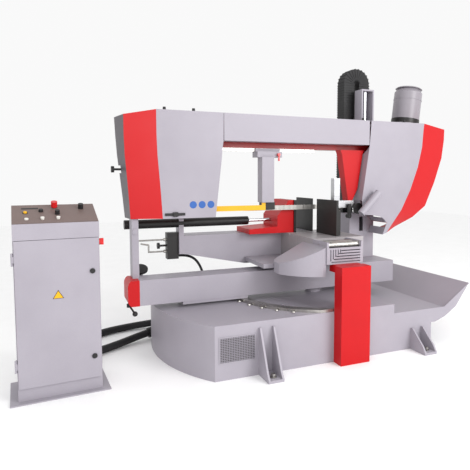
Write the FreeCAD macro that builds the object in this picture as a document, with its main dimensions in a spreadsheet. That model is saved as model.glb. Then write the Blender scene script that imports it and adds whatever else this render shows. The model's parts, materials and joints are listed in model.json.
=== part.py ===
import FreeCAD, Part
import math
import os
import re

import Sketcher
from FreeCAD import Placement, Rotation, Vector

# Double-mitre column band saw with its control cabinet, as a parametric document.
# Origin: the floor point under the swivel axis.  +X runs along the saw bow to the
# drive wheel, +Y to the back of the machine, +Z up.  All sizes are in millimetres.

SIZES = {
    # general fits
    "gap": 0.3, "running": 0.05, "sheet_wall": 3, "plate": 12,
    # base housing
    "arc_x": -238, "arc_y": 73, "arc_r": 1205, "base_front": -700, "base_back": 800,
    "base_right": 760, "base_top": 397, "base_wall": 8, "rib": 20,
    "notch_x": 371, "notch_top": 200,
    # foot brackets and their bolts
    "foot_x": -771, "foot_right_x": 602, "foot_width": 120, "foot_reach": 180,
    "foot_plate": 20, "gusset": 14, "gusset_top": 350, "gusset_right_top": 180,
    "bolt_r": 12, "bolt_out": 120,
    # slew ring on the deck
    "ring_outer": 760, "ring_inner": 690, "ring_top": 420, "ring_right": 60, "ring_edge": 694,
    # pedestal, table and vise bed
    "pillar_r": 70, "shelf_left": -600, "shelf_right": 240, "shelf_front": -255,
    "shelf_back": 174, "shelf_bottom": 685, "table_bottom": 720, "table_top": 932,
    "table_left": -240, "table_right": 250, "table_front": -423, "bed_front": 180,
    "bed_back": 400, "bed_left": -1153, "bed_right": 60, "bed_end_bottom": 777,
    "bed_low": 660, "slot_half": 12, "slot_depth": 12, "table_wall": 20,
    "end_plate": 40, "end_plate_back": 300, "end_plate_top": 1098,
    # vise jaws
    "jaw_x": 21, "jaw_plate": 20, "jaw_top": 1235, "jaw_far": 379, "jaw_front_far": -360,
    "jaw_near": 46, "jaw_near_far": 80, "jaw_front_near": -24, "jaw_front_near_far": -48,
    "rib_near": 150, "rib_far": 340, "rib_depth": 34, "rib_top": 1150,
    "slide_right": -170, "slide_left": -600, "slide_toe": 975, "slide_step": 990,
    "slide_step_x": -330, "slide_back_top": 1085, "slide_top": 1225, "slide_top_x": -215,
    "slide_front": 60, "slide_rear": 380, "face_plate": 20, "face_front": 45,
    # vise cylinder
    "cyl_y": 215, "cyl_z": 1042, "cyl_r": 38, "cyl_bore": 30, "cyl_left": -1640,
    "cyl_right": -558, "cyl_cap": 30, "rod_r": 14, "piston_left": -800, "piston": 20,
    "valve_left": -1290, "valve_front": 205, "valve_back": 285, "valve_bottom": 735,
    "valve_top": 960,
    # outfeed side
    "chute_bottom": 660, "chute_left_top": 748, "chute_right_top": 890, "chute_left": -531,
    "chute_front": -637, "chute_back": -260, "outfeed_front": -650, "outfeed_right": 90,
    "outfeed_bottom": 755, "panel_top": 882, "cheek_top": 928, "cheek": 18,
    "roller_r": 25, "roller_pin": 8, "roller_1_y": -600, "roller_2_y": -520, "roller_z": 900,
    "louvre": 9, "louvre_pitch": 22,
    "column_left": -200, "column_front": -804, "column_wall": 6,
    # chip tray
    "tray_floor": 312, "tray_back": 675, "tray_bend": 905, "tray_right": 1173,
    "tray_rim": 505, "tray_sheet": 6, "tray_heel": 804,
    # control cabinet, in its own frame before it is turned
    "cab_x": -2157, "cab_y": -349, "cab_turn": 3.6, "cab_half": 257, "cab_depth": 150,
    "plinth_half": 305, "plinth_depth": 200, "plinth": 8, "cab_front_top": 1140,
    "cab_back_top": 1240, "slope_back": 120, "door_half": 252, "door_bottom": 93,
    "door_top": 1035, "door_thick": 18, "frame_lip": 12, "lock_x": 208, "lock_low": 240,
    "lock_high": 815, "lock_r": 17, "switch_z": 1000, "switch_y": -110, "switch_r": 22,
    "hinge_r": 6, "hinge_out": 6, "hinge_low": 220, "hinge_high": 900, "knuckle": 40,
    "panel_tilt": 20.32,
    # conduits
    "conduit_r": 31, "gland_r": 44, "gland": 40, "conduit_exit_z": 70,
    # swivel console
    "beam_left": -1577, "beam_front": -129, "beam_back": 75, "beam_bottom": 445,
    "beam_top": 642, "foot_left": 330, "foot_right": 800, "foot_back": 450,
    "shoe_left": -1240, "shoe_right": -690, "shoe_bottom": 421, "cap_left": -1665,
    "cap_bulge": 25, "cap_back": 98, "crank_x": -1645, "crank_y": -20, "crank_hub_r": 18,
    "crank_hub": 26, "crank_pin": 8, "crank_ball_x": -1612, "crank_ball_y": -100, "crank_ball_z": 380,
    "crank_ball_r": 20, "crank_rod_r": 7,
    "post_left": -1614, "post_right": -1564, "post_front": -38, "post_back": 90, "post_top": 1680,
    "dial_x": -1526, "dial_y": 150, "dial_z": 679, "dial_r": 60, "dial_thick": 16, "dial_tilt": 28,
    "post_knob_r": 22, "post_knob_z": 1010,
    # lift column, lead screw and hose loop
    "col_left": 488, "col_right": 768, "col_front": 150, "col_back": 320, "col_step": 1073,
    "guide_left": 622, "guide_right": 764, "guide_front": 170, "guide_back": 290,
    "guide_top": 2284, "guide_wall": 15, "screw_x": 693, "screw_y": 225, "screw_r": 22,
    "loop_left": 520, "loop_leg": 115, "loop_span": 290, "loop_front": 325,
    "loop_back": 445, "loop_axis": 2360, "loop_end": 1960,
    # saw bow
    "wheel_r": 310, "wheel_z": 1474, "idler_x": -1245, "drive_x": 960, "rim_half": 20,
    "rim": 26, "web_half": 7, "hub_r": 62, "hub_half": 26, "axle_r": 30, "drive_r": 35,
    "frame_left": -960, "frame_right": 600, "frame_front": 25, "frame_back": 125,
    "frame_bottom": 1678, "frame_top": 1900, "wall_front": 45, "wall_back": 65,
    "frame_wall": 10, "cover_front": -110, "cover_back": 130, "cover_top": 1947,
    "panel_bottom": 1725, "panel_left": -884, "panel_right": 521,
    "rail_left": -860, "rail_right": 20, "rail_front": 30, "rail_back": 70,
    "rail_bottom": 1650, "carriage_bottom": 1700, "carriage_top": 1850,
    "guide_block_bottom": 1330, "guide_block_top": 1430,
    "gear_left": 880, "gear_right": 1340, "gear_back": 330, "gear_bottom": 1380,
    "gear_top": 1640, "motor_x": 1198, "motor_y": 285, "motor_r": 140, "motor_bottom": 250,
    "motor_length": 456, "motor_tilt": 7, "bell_r": 88,
    "tension_y": 110, "tension_z": 1492, "tension_r": 9, "tension_knob_r": 25,
    "tension_left": -1742,
    # blade and guides
    "blade_low": 1142.5, "blade_high": 1183.6, "blade_thick": 1.3,
    "twist_left": -940, "guide_in_left": -540, "guide_in_right": 410, "twist_right": 700,
    "arm_left": -530, "arm_right": -418, "arm_front": -60, "arm_back": 40,
    "arm_bottom": 1215, "head_left": -560, "head_right": -330, "head_back": 85,
    "head_bottom": 1600, "lever_r": 6, "lever_length": 55, "lever_y": -68,
    "block_bottom": 1150, "block_half": 30, "guard_left": -931, "guard_low": 1148,
    "guard_high": 1192, "guard_front": -40, "guard_thick": 4,
    "right_block_left": 200, "right_block_right": 400, "right_block_top": 1420,
    # side cover hinges and lamp
    "pivot_y": 138, "pivot_z": 1953, "eye_r": 8, "eye": 40, "eye_pin": 4, "bracket_back": 152,
    "left_eye_1": -1340, "left_eye_2": -1098, "right_eye_1": 572, "right_eye_2": 1060,
    "lamp_y": -170, "lamp_r": 34, "lamp_x": 400, "lamp_z": 1100, "lamp_length": 270, "lamp_tilt": 45,
}

doc = FreeCAD.newDocument("BandSaw")
sheet = doc.addObject("Spreadsheet::Sheet", "Sizes")
for row, (alias, size) in enumerate(SIZES.items(), start=1):
    sheet.set(f"A{row}", alias)
    sheet.set(f"B{row}", str(size))
    sheet.setAlias(f"B{row}", alias)
doc.recompute()

PIECES = {}


def sized(text):
    """An expression over the sheet: each size named in the text is read from its cell."""
    return re.sub(r"[a-z_][a-z_0-9]*", lambda m: "Sizes." + m[0] if m[0] in SIZES else m[0], str(text))


def value(text):
    """The number that an expression over the sheet gives now."""
    number = sheet.evalExpression(sized(text))
    return float(getattr(number, "Value", number))


def bind(feature, **expressions):
    """Ties properties to expressions; a double underscore in a name stands for a dot."""
    for name, text in expressions.items():
        feature.setExpression(name.replace("__", "."), sized(text))
    return feature


def block(name, x, y, z):
    """A box between two limits on each axis."""
    solid = doc.addObject("Part::Box", name)
    return bind(
        solid,
        Placement__Base__x=x[0], Placement__Base__y=y[0], Placement__Base__z=z[0],
        Length=f"({x[1]}) - ({x[0]})", Width=f"({y[1]}) - ({y[0]})", Height=f"({z[1]}) - ({z[0]})",
    )


TURNS = {
    "x": Rotation(Vector(0, 1, 0), 90),
    "y": Rotation(Vector(1, 0, 0), -90),
    "z": Rotation(),
}


def rod(name, axis, x, y, z, radius):
    """A cylinder along an axis: the limits on that axis are a pair, the others one place."""
    solid = doc.addObject("Part::Cylinder", name)
    solid.Placement = Placement(Vector(), TURNS[axis])
    low = {"x": x, "y": y, "z": z}[axis]
    place = {"x": x, "y": y, "z": z, axis: low[0]}
    return bind(
        solid, Radius=radius, Height=f"({low[1]}) - ({low[0]})", Placement__Base__x=place["x"],
        Placement__Base__y=place["y"], Placement__Base__z=place["z"],
    )


PLANES = {"XY": ("XY_Plane", 1), "XZ": ("XZ_Plane", -1), "YZ": ("YZ_Plane", 1)}


def profile(name, plane, low, high, points):
    """A body padded from an outline. A point is a pair; a third entry is the radius of the arc
    that reaches it, positive where it turns left of the way round."""
    body = doc.addObject("PartDesign::Body", name)
    sketch = body.newObject("Sketcher::SketchObject", name + "_sketch")
    role, sign = PLANES[plane]
    origin = next(f for f in body.Origin.OriginFeatures if f.Role == role)
    sketch.AttachmentSupport = [(origin, "")]
    sketch.MapMode = "FlatFace"
    start = low if sign > 0 else f"-({high})"
    sketch.setExpression(".AttachmentOffset.Base.z", sized(start))
    places = [Vector(value(p[0]), value(p[1]), 0) for p in points]
    count = len(points)
    for i in range(count):
        a, b = places[i], places[(i + 1) % count]
        bend = points[(i + 1) % count][2:]
        if bend:
            radius = value(bend[0])
            chord = b - a
            rise = math.sqrt(max(radius * radius - chord.Length ** 2 / 4, 0))
            side = Vector(-chord.y, chord.x, 0).normalize() * math.copysign(1, radius)
            centre = (a + b) * 0.5 + side * rise
            middle = centre - side * abs(radius)
            sketch.addGeometry(Part.Arc(a, middle, b), False)
        else:
            sketch.addGeometry(Part.LineSegment(a, b), False)
    ends = []
    for i in range(count):
        arc = bool(points[(i + 1) % count][2:])
        flip = False
        if arc:
            first = sketch.getPoint(i, 1)
            flip = (first - places[i]).Length > 1e-4
        ends.append((2, 1) if flip else (1, 2))
    for i in range(count):
        after = (i + 1) % count
        sketch.addConstraint(Sketcher.Constraint("Coincident", i, ends[i][1], after, ends[after][0]))
        for kind, axis in (("DistanceX", 0), ("DistanceY", 1)):
            place = places[i][axis]
            rule = sketch.addConstraint(Sketcher.Constraint(kind, -1, 1, i, ends[i][0], place))
            sketch.setExpression(f"Constraints[{rule}]", sized(points[i][axis]))
        bend = points[after][2:]
        if bend:
            rule = sketch.addConstraint(Sketcher.Constraint("Radius", i, abs(value(bend[0]))))
            sketch.setExpression(f"Constraints[{rule}]", sized(f"abs({bend[0]})"))
    pad = body.newObject("PartDesign::Pad", name + "_pad")
    pad.Profile = sketch
    pad.setExpression("Length", sized(f"({high}) - ({low})"))
    return body


def join(name, *parts):
    solid = doc.addObject("Part::MultiFuse", name)
    solid.Shapes = list(parts)
    solid.Refine = True
    return solid


def cut(name, base, *tools):
    solid = doc.addObject("Part::Cut", name)
    solid.Base = base
    solid.Tool = tools[0] if len(tools) == 1 else join(name + "_tools", *tools)
    return solid


def both(name, first, second):
    solid = doc.addObject("Part::Common", name)
    solid.Base = first
    solid.Tool = second
    return solid


def group(name, *parts):
    solid = doc.addObject("Part::Compound", name)
    solid.Links = list(parts)
    return solid


def keep(name, feature):
    """Names a finished sub-part; the name is its file's."""
    feature.Label = name
    PIECES[name] = feature
    return feature


# ---------------------------------------------------------------- base housing
# Welded steel drum under the deck: an arc at the left, a low step under the chip tray.
def housing_solid(name, inset, floor, top, step_top):
    arc = rod(name + "_arc", "z", "arc_x", "arc_y", (floor, top), f"arc_r - {inset}")
    left = block(name + "_left", ("arc_x - arc_r", "arc_x + 1"),
                 (f"base_front + {inset}", f"base_back - {inset}"), (floor, top))
    middle = block(name + "_middle", ("arc_x", f"notch_x - {inset}"),
                   (f"base_front + {inset}", f"base_back - {inset}"), (floor, top))
    step = block(name + "_step", ("arc_x", f"base_right - {inset}"),
                 (f"base_front + {inset}", f"base_back - {inset}"), (floor, step_top))
    return join(name, both(name + "_round", arc, left), middle, step)


shell = cut(
    "housing_shell",
    housing_solid("outer", "0", "0", "base_top", "notch_top"),
    housing_solid("inner", "base_wall", "-1", "base_top - plate", "notch_top - plate"),
)
long_rib = block("long_rib", ("arc_x - arc_r + 100", "base_right - base_wall"),
                 ("-rib / 2", "rib / 2"), ("0", "notch_top - plate"))
cross_rib = block("cross_rib", ("-rib / 2", "rib / 2"),
                  ("base_front + base_wall", "base_back - base_wall"), ("0", "base_top - plate"))
keep("base_housing", join("base_housing", shell, long_rib, cross_rib))

# ---------------------------------------------------------------- foot brackets
# A foot plate between two curved gussets, welded on and bolted to the floor.


def foot_bracket(name, x, wall, out, top):
    """out is -1 at the front wall and +1 at the back wall."""
    low, high = (f"{wall} - foot_reach", wall) if out < 0 else (wall, f"{wall} + foot_reach")
    left, right = f"{x} - foot_width / 2", f"{x} + foot_width / 2"
    sole = block(name + "_sole", (left, right), (low, high), ("0", "foot_plate"))
    tip = f"{wall} + ({out}) * foot_reach"
    near = f"{wall} + ({out}) * 22"
    outline = [(wall, "foot_plate"), (tip, "foot_plate"), (f"{wall} + ({out}) * 150", "foot_plate + 45"),
               (near, top), (wall, top)]
    sides = []
    for side, edge in (("a", left), ("b", f"{right} - gusset")):
        sides.append(profile(f"{name}_gusset_{side}", "YZ", edge, f"{edge} + gusset", outline))
    hole = rod(name + "_hole", "z", x, f"{wall} + ({out}) * bolt_out", ("-1", "foot_plate + 1"),
               "bolt_r + 1")
    return cut(name, join(name + "_weld", sole, *sides), hole)


FEET = [("front_left", "foot_x", "base_front", -1, "gusset_top"),
        ("front_right", "foot_right_x", "base_front", -1, "gusset_right_top"),
        ("back_left", "foot_x", "base_back", 1, "gusset_top"),
        ("back_right", "foot_right_x", "base_back", 1, "gusset_right_top")]
keep("foot_brackets", group("foot_brackets", *[foot_bracket("bracket_" + f[0], *f[1:]) for f in FEET]))

# ---------------------------------------------------------------- slew ring
# Machined track that carries the console's shoe; cut off at the edges of the deck.
ring = cut("ring_turned", rod("ring_disc", "z", "0", "0", ("base_top", "ring_top"), "ring_outer"),
           rod("ring_hole", "z", "0", "0", ("base_top - 1", "ring_top + 1"), "ring_inner"))
ring_bounds = block("ring_bounds", ("-ring_outer - 1", "ring_right"), ("-ring_edge", "ring_edge"),
                    ("base_top", "ring_top"))
keep("slew_ring", both("slew_ring", ring, ring_bounds))

# ---------------------------------------------------------------- pedestal, table and vise bed
pillar = rod("pillar", "z", "0", "0", ("base_top", "shelf_bottom + 1"), "pillar_r")
shelf = block("shelf", ("shelf_left", "shelf_right"), ("shelf_front", "shelf_back"),
              ("shelf_bottom", "table_bottom"))
keep("table_pedestal", join("table_pedestal", pillar, shelf))

table = block("table_block", ("table_left", "table_right"), ("table_front", "bed_front"),
              ("table_bottom", "table_top"))
table_hollow = block("table_hollow", ("table_left + table_wall", "table_right - table_wall"),
                     ("table_front + table_wall", "bed_front - table_wall"),
                     ("table_bottom - 1", "table_top - 2 * table_wall"))
blade_slot = block("blade_slot", ("table_left - 1", "table_right + 1"), ("-slot_half", "slot_half"),
                   ("table_top - slot_depth", "table_top + 1"))
keep("vise_table", cut("vise_table", table, table_hollow, blade_slot))

bed = profile("bed_beam", "XZ", "bed_front", "bed_back",
              [("bed_left", "bed_end_bottom"), ("shelf_left", "bed_low"), ("bed_right", "bed_low"),
               ("bed_right", "table_top"), ("bed_left", "table_top")])
bed_hollow = block("bed_hollow", ("bed_left + table_wall", "bed_right + 1"),
                   ("bed_front + table_wall", "bed_back - table_wall"),
                   ("bed_end_bottom + table_wall", "table_top - table_wall"))
end_plate = block("bed_end_plate", ("bed_left - end_plate", "bed_left"), ("bed_front", "end_plate_back"),
                  ("bed_end_bottom", "end_plate_top"))
cylinder_seat = rod("cylinder_seat", "x", ("bed_left - end_plate - 1", "bed_left + 1"), "cyl_y",
                    "cyl_z", "cyl_r + gap")
keep("vise_bed", cut("vise_bed", join("bed_weld", bed, end_plate), bed_hollow, cylinder_seat))

# ---------------------------------------------------------------- fixed jaws
# Two plates with a gap between them for the blade; their near ends are bevelled so the blade
# passes at every mitre angle, and a rib stands behind each.
rear_jaw = profile("rear_jaw_plate", "XY", "table_top", "jaw_top",
                   [("jaw_x", "jaw_near"), ("jaw_x + jaw_plate", "jaw_near_far"),
                    ("jaw_x + jaw_plate", "jaw_far"), ("jaw_x", "jaw_far")])
rear_rib = block("rear_jaw_rib", ("jaw_x + jaw_plate", "bed_right"), ("rib_near", "rib_far"),
                 ("table_top", "rib_top"))
front_jaw = profile("front_jaw_plate", "XY", "table_top", "jaw_top",
                    [("jaw_x", "jaw_front_far"), ("jaw_x + jaw_plate", "jaw_front_far"),
                     ("jaw_x + jaw_plate", "jaw_front_near_far"), ("jaw_x", "jaw_front_near")])
front_rib = block("front_jaw_rib", ("jaw_x + jaw_plate", "jaw_x + jaw_plate + rib_depth"),
                  ("-rib_far", "-rib_near"), ("table_top", "rib_top"))
keep("fixed_jaws", group("fixed_jaws", join("rear_jaw", rear_jaw, rear_rib),
                         join("front_jaw", front_jaw, front_rib)))

# ---------------------------------------------------------------- moving jaw, rod and cylinder
slide = profile("moving_jaw", "XZ", "slide_front", "slide_rear",
                [("slide_right", "table_top + gap"), ("slide_left", "table_top + gap"),
                 ("slide_left", "slide_toe"), ("slide_step_x", "slide_step"),
                 ("slide_step_x", "slide_back_top"), ("slide_top_x", "slide_top"),
                 ("slide_right", "slide_top")])
keep("moving_jaw", slide)
keep("moving_jaw_face", block("moving_jaw_face", ("slide_right", "slide_right + face_plate"),
                              ("face_front", "slide_rear"), ("table_top + gap", "slide_top")))
rod_bar = rod("rod_bar", "x", ("piston_left", "slide_step_x"), "cyl_y", "cyl_z", "rod_r")
piston = rod("rod_piston", "x", ("piston_left", "piston_left + piston"), "cyl_y", "cyl_z", "cyl_bore - gap")
keep("vise_rod", join("vise_rod", rod_bar, piston))
barrel = rod("barrel", "x", ("cyl_left", "cyl_right"), "cyl_y", "cyl_z", "cyl_r")
barrel_bore = rod("barrel_bore", "x", ("cyl_left + cyl_cap", "cyl_right - cyl_cap"), "cyl_y", "cyl_z",
                  "cyl_bore")
rod_bore = rod("rod_bore", "x", ("cyl_right - cyl_cap - 1", "cyl_right + 1"), "cyl_y", "cyl_z",
               "rod_r + running")
keep("vise_cylinder", cut("vise_cylinder", barrel, barrel_bore, rod_bore))
keep("valve_block", block("valve_block", ("valve_left", "bed_left - end_plate"),
                          ("valve_front", "valve_back"), ("valve_bottom", "valve_top")))

# ---------------------------------------------------------------- outfeed side
chute_plan = profile("chute_plan", "XY", "chute_bottom", "chute_right_top",
                     [("table_left - gap", "chute_front"), ("table_left - gap", "chute_back"),
                      ("chute_left + 31", "chute_back"), ("chute_left", "chute_back - 60", 80),
                      ("chute_left", "-400"), ("-269", "chute_front", 420)])
chute_cover = profile("chute_slope", "XZ", "chute_front - 1", "chute_back + 1",
                      [("chute_left - 1", "chute_left_top"), ("table_left", "chute_right_top"),
                       ("table_left", "chute_right_top + 50"), ("chute_left - 1", "chute_right_top + 50")])
keep("outfeed_chute", cut("outfeed_chute", chute_plan, chute_cover))

outfeed_back = "table_front"
box = block("outfeed_box", ("table_left", "outfeed_right"), ("outfeed_front", outfeed_back),
            ("outfeed_bottom", "cheek_top"))
trough = block("outfeed_trough", ("table_left + cheek", "outfeed_right - cheek"),
               ("outfeed_front + cheek", "table_front - cheek"), ("outfeed_bottom + cheek", "cheek_top + 1"))
front_drop = block("front_drop", ("table_left + cheek", "outfeed_right - cheek"),
                   ("outfeed_front - 1", "outfeed_front + cheek + 1"), ("panel_top", "cheek_top + 1"))
back_drop = block("back_drop", ("table_left + cheek", "outfeed_right - cheek"),
                  ("table_front - cheek - 1", "table_front + 1"), ("panel_top", "cheek_top + 1"))
slots = []
for i in range(5):
    x = f"table_left + 30 + {i} * louvre_pitch"
    slots.append(block(f"upright_slot_{i}", (x, f"{x} + louvre"),
                       ("outfeed_front - 1", "outfeed_front + cheek + 1"),
                       (f"outfeed_bottom + 25 + {i} * 16", "panel_top - 12")))
for i in range(5):
    z = f"outfeed_bottom + 12 + {i} * louvre_pitch"
    slots.append(block(f"level_slot_{i}", (f"table_left + 40 + {i} * louvre_pitch", "outfeed_right - 25"),
                       ("outfeed_front - 1", "outfeed_front + cheek + 1"), (z, f"{z} + louvre")))
for i, y in enumerate(("roller_1_y", "roller_2_y"), start=1):
    slots.append(rod(f"roller_seat_{i}", "x", ("table_left - 1", "outfeed_right + 1"), y, "roller_z",
                     "roller_pin + running"))
keep("outfeed_frame", cut("outfeed_frame", box, trough, front_drop, back_drop, *slots))
for i, y in enumerate(("roller_1_y", "roller_2_y"), start=1):
    tube = rod(f"roller_tube_{i}", "x", ("table_left + cheek + gap", "outfeed_right - cheek - gap"), y,
               "roller_z", "roller_r")
    pin = rod(f"roller_pin_{i}", "x", ("table_left + 1", "outfeed_right - 1"), y, "roller_z", "roller_pin")
    keep(f"outfeed_roller_{i}", join(f"outfeed_roller_{i}", tube, pin))

post_out = block("support_out", ("column_left", "ring_right"), ("column_front", "base_front"),
                 ("0", "outfeed_bottom"))
post_in = block("support_in", ("column_left + column_wall", "ring_right - column_wall"),
                ("column_front + column_wall", "base_front - column_wall"),
                ("-1", "outfeed_bottom - column_wall"))
carrier = block("support_arm", ("column_left + 20", "ring_right - 20"), ("base_front", "outfeed_front + 60"),
                ("outfeed_bottom - 60", "outfeed_bottom"))
keep("support_column", join("support_column", cut("support_shell", post_out, post_in), carrier))

# ---------------------------------------------------------------- chip tray
floor = profile("tray_sheet", "XZ", "base_front", "tray_back",
                [("notch_x", "notch_top"), ("notch_x + tray_sheet", "notch_top"),
                 ("notch_x + tray_sheet", "tray_floor - tray_sheet"),
                 ("tray_bend", "tray_floor - tray_sheet"), ("tray_right + 4", "tray_rim - 6"),
                 ("tray_right", "tray_rim"), ("tray_bend - 3", "tray_floor"), ("notch_x", "tray_floor")])
lip_outline = [("notch_x", "notch_top"), ("tray_heel", "notch_top"), ("tray_heel + 112", "notch_top + 40"),
               ("tray_heel + 225", "tray_floor"), ("tray_right", "tray_rim"), ("tray_bend - 3", "tray_floor + 8"),
               ("notch_x", "tray_floor + 8")]
front_lip = profile("tray_front_lip", "XZ", "base_front", "base_front + tray_sheet", lip_outline)
back_lip = profile("tray_back_lip", "XZ", "tray_back - tray_sheet", "tray_back", lip_outline)
keep("chip_tray", join("chip_tray", floor, front_lip, back_lip))

# ---------------------------------------------------------------- control cabinet


def turned(name, feature):
    """Stands a cabinet piece, made about the cabinet's own centre, at its place on the floor."""
    piece = group(name, feature)
    bind(piece, Placement__Base__x="cab_x", Placement__Base__y="cab_y")
    piece.Placement = Placement(Vector(value("cab_x"), value("cab_y"), 0),
                                Rotation(Vector(0, 0, 1), value("cab_turn")))
    piece.setExpression("Placement.Rotation.Angle", sized("cab_turn * 1 deg"))
    return keep(name, piece)


side_view = [("-cab_depth", "plinth"), ("-cab_depth", "cab_front_top"), ("slope_back", "cab_back_top"),
             ("cab_depth", "cab_back_top"), ("cab_depth", "plinth")]
inside_view = [("-cab_depth + sheet_wall", "plinth + sheet_wall"), ("-cab_depth + sheet_wall", "cab_back_top"),
               ("slope_back - 10", "cab_back_top + 1"), ("slope_back - 10", "cab_back_top - sheet_wall"),
               ("cab_depth - sheet_wall", "cab_back_top - sheet_wall"),
               ("cab_depth - sheet_wall", "plinth + sheet_wall")]
case = profile("case_out", "YZ", "-cab_half", "cab_half", side_view)
case_in = profile("case_in", "YZ", "-cab_half + sheet_wall", "cab_half - sheet_wall", inside_view)
doorway = block("doorway", ("-door_half + frame_lip", "door_half - frame_lip"),
                ("-cab_depth - 1", "-cab_depth + sheet_wall + 1"),
                ("door_bottom + frame_lip", "door_top - frame_lip"))
header = block("header", ("-cab_half", "cab_half"), ("-cab_depth - door_thick", "-cab_depth"),
               ("door_top + 3", "cab_front_top"))
plinth = block("plinth_plate", ("-plinth_half", "plinth_half"), ("-plinth_depth", "plinth_depth"),
               ("0", "plinth"))
hinge_x = "-cab_half - 1 - hinge_out"
hinge_y = "-cab_depth - 9"
lugs = []
for n, z in enumerate(("hinge_low", "hinge_high"), start=1):
    lugs.append(rod(f"hinge_pin_{n}", "z", hinge_x, hinge_y, (f"{z} - 20", f"{z} + knuckle + 20"),
                    "hinge_r / 2"))
    for end, low in (("low", f"{z} - 20"), ("high", f"{z} + knuckle + gap")):
        lugs.append(rod(f"hinge_lug_{end}_{n}", "z", hinge_x, hinge_y, (low, f"{low} + 20 - gap"), "hinge_r"))
        lugs.append(block(f"hinge_ear_{end}_{n}", (hinge_x, "-cab_half + 1"),
                          (f"{hinge_y}", "-cab_depth + 6"), (low, f"{low} + 20 - gap")))
switch_bore = rod("switch_bore", "x", ("cab_half - sheet_wall - 1", "cab_half + 1"), "switch_y", "switch_z",
                  "switch_r / 3 + running")
case_cut = cut("case_shell", case, case_in, doorway, switch_bore)
turned("cabinet_case", join("cabinet_case_weld", case_cut, header, plinth, *lugs))

slope_panel = profile("slope_panel", "YZ", "-cab_half", "cab_half",
                      [("-cab_depth", "cab_front_top"), ("slope_back", "cab_back_top"),
                       ("slope_back - 1", "cab_back_top + sheet_wall"), ("-cab_depth - 1", "cab_front_top + sheet_wall")])
door_skin = block("door_skin", ("-door_half", "door_half"), ("-cab_depth - door_thick", "-cab_depth - gap"),
                  ("door_bottom", "door_top"))
door_hollow = block("door_hollow", ("-door_half + sheet_wall", "door_half - sheet_wall"),
                    ("-cab_depth - door_thick + sheet_wall", "-cab_depth"),
                    ("door_bottom + sheet_wall", "door_top - sheet_wall"))
knuckles = []
for n, z in enumerate(("hinge_low", "hinge_high"), start=1):
    knuckles.append(rod(f"knuckle_{n}", "z", hinge_x, hinge_y, (z, f"{z} + knuckle"), "hinge_r"))
    knuckles.append(block(f"knuckle_leaf_{n}", (hinge_x, "-door_half + 1"),
                          ("-cab_depth - 14", f"{hinge_y} - 1"), (z, f"{z} + knuckle")))
pin_bores = [rod(f"pin_bore_{n}", "z", hinge_x, hinge_y, (f"{z} - 1", f"{z} + knuckle + 1"),
                 "hinge_r / 2 + running") for n, z in enumerate(("hinge_low", "hinge_high"), start=1)]
lock_bores = [rod(f"lock_bore_{n}", "y", "lock_x", ("-cab_depth - door_thick - 1", "-cab_depth + 1"), z,
                  "lock_r / 2 + running") for n, z in enumerate(("lock_low", "lock_high"), start=1)]
turned("cabinet_door", cut("door_finish", join("door_weld", cut("door_pan", door_skin, door_hollow), *knuckles),
                           *pin_bores, *lock_bores))
for n, (side, z) in enumerate((("lower", "lock_low"), ("upper", "lock_high")), start=1):
    head = rod(f"lock_head_{n}", "y", "lock_x", ("-cab_depth - door_thick - 8", "-cab_depth - door_thick - gap"),
               z, "lock_r")
    stem = rod(f"lock_stem_{n}", "y", "lock_x", ("-cab_depth - door_thick - 1", "-cab_depth - 2"), z, "lock_r / 2")
    turned(f"door_lock_{side}", join(f"lock_{n}", head, stem))

switch_stem = rod("switch_stem", "x", ("cab_half - 15", "cab_half + 2"), "switch_y", "switch_z", "switch_r / 3")
switch_knob = rod("switch_knob", "x", ("cab_half + gap", "cab_half + 16"), "switch_y", "switch_z", "switch_r")
switch_grip = block("switch_grip", ("cab_half + 15", "cab_half + 34"), ("switch_y - 6", "switch_y + 6"),
                    ("switch_z - switch_r", "switch_z + switch_r"))
turned("main_switch", join("main_switch_body", switch_stem, switch_knob, switch_grip))

# Controls on the sloped panel: each stands at right angles to it, in its own bore.
CONTROLS = {
    # name: place across, place up the slope, stem radius, cap radius, cap height
    "emergency_stop": (2, 72, 11, 20, 38),
    "mode_selector": (14, -28, 11, 15, 28),
    "speed_knob": (168, 48, 11, 17, 34),
    "start_button": (-79, -98, 10, 12, 8),
    "stop_button": (15, -98, 10, 12, 8),
}
bores = []


def slope_z(up):
    return f"cab_front_top + ({up} + cab_depth) * tan(panel_tilt * 1 deg)"


def on_slope(name, feature, across, up):
    piece = group(name + "_seat", feature)
    piece.Placement = Placement(Vector(across, up, value(slope_z(up))),
                                Rotation(Vector(1, 0, 0), value("panel_tilt")))
    piece.setExpression("Placement.Base.z", sized(slope_z(up)))
    return piece


for control, (across, up, stem_r, cap_r, cap_high) in CONTROLS.items():
    travel = 6.5 if control in ("emergency_stop", "start_button", "stop_button") else 0.3
    stem = rod(control + "_stem", "z", "0", "0", ("-14", f"sheet_wall + {travel} + 2"), str(stem_r))
    cap = rod(control + "_cap", "z", "0", "0", (f"sheet_wall + {travel}", f"sheet_wall + {travel} + {cap_high}"),
              str(cap_r))
    turned(control, on_slope(control, join(control + "_body", stem, cap), across, up))
    bore = rod(control + "_bore", "z", "0", "0", ("-30", "sheet_wall + 5"), f"{stem_r} + running")
    bores.append(on_slope(control + "_bore", bore, across, up))
turned("control_panel", cut("control_panel_body", slope_panel, *bores))
turned("mounting_plate", block("mounting_plate_body", ("-cab_half + 30", "cab_half - 30"),
                               ("cab_depth - 30", "cab_depth - sheet_wall"), ("120", "1000")))

# ---------------------------------------------------------------- conduits on the floor
# Two flexible conduits from the cabinet's back to the drum, each straight runs and tangent arcs.


def cab_point(x, y, z):
    turn = math.radians(value("cab_turn"))
    return Vector(value("cab_x") + x * math.cos(turn) - y * math.sin(turn),
                  value("cab_y") + x * math.sin(turn) + y * math.cos(turn), z)


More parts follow.
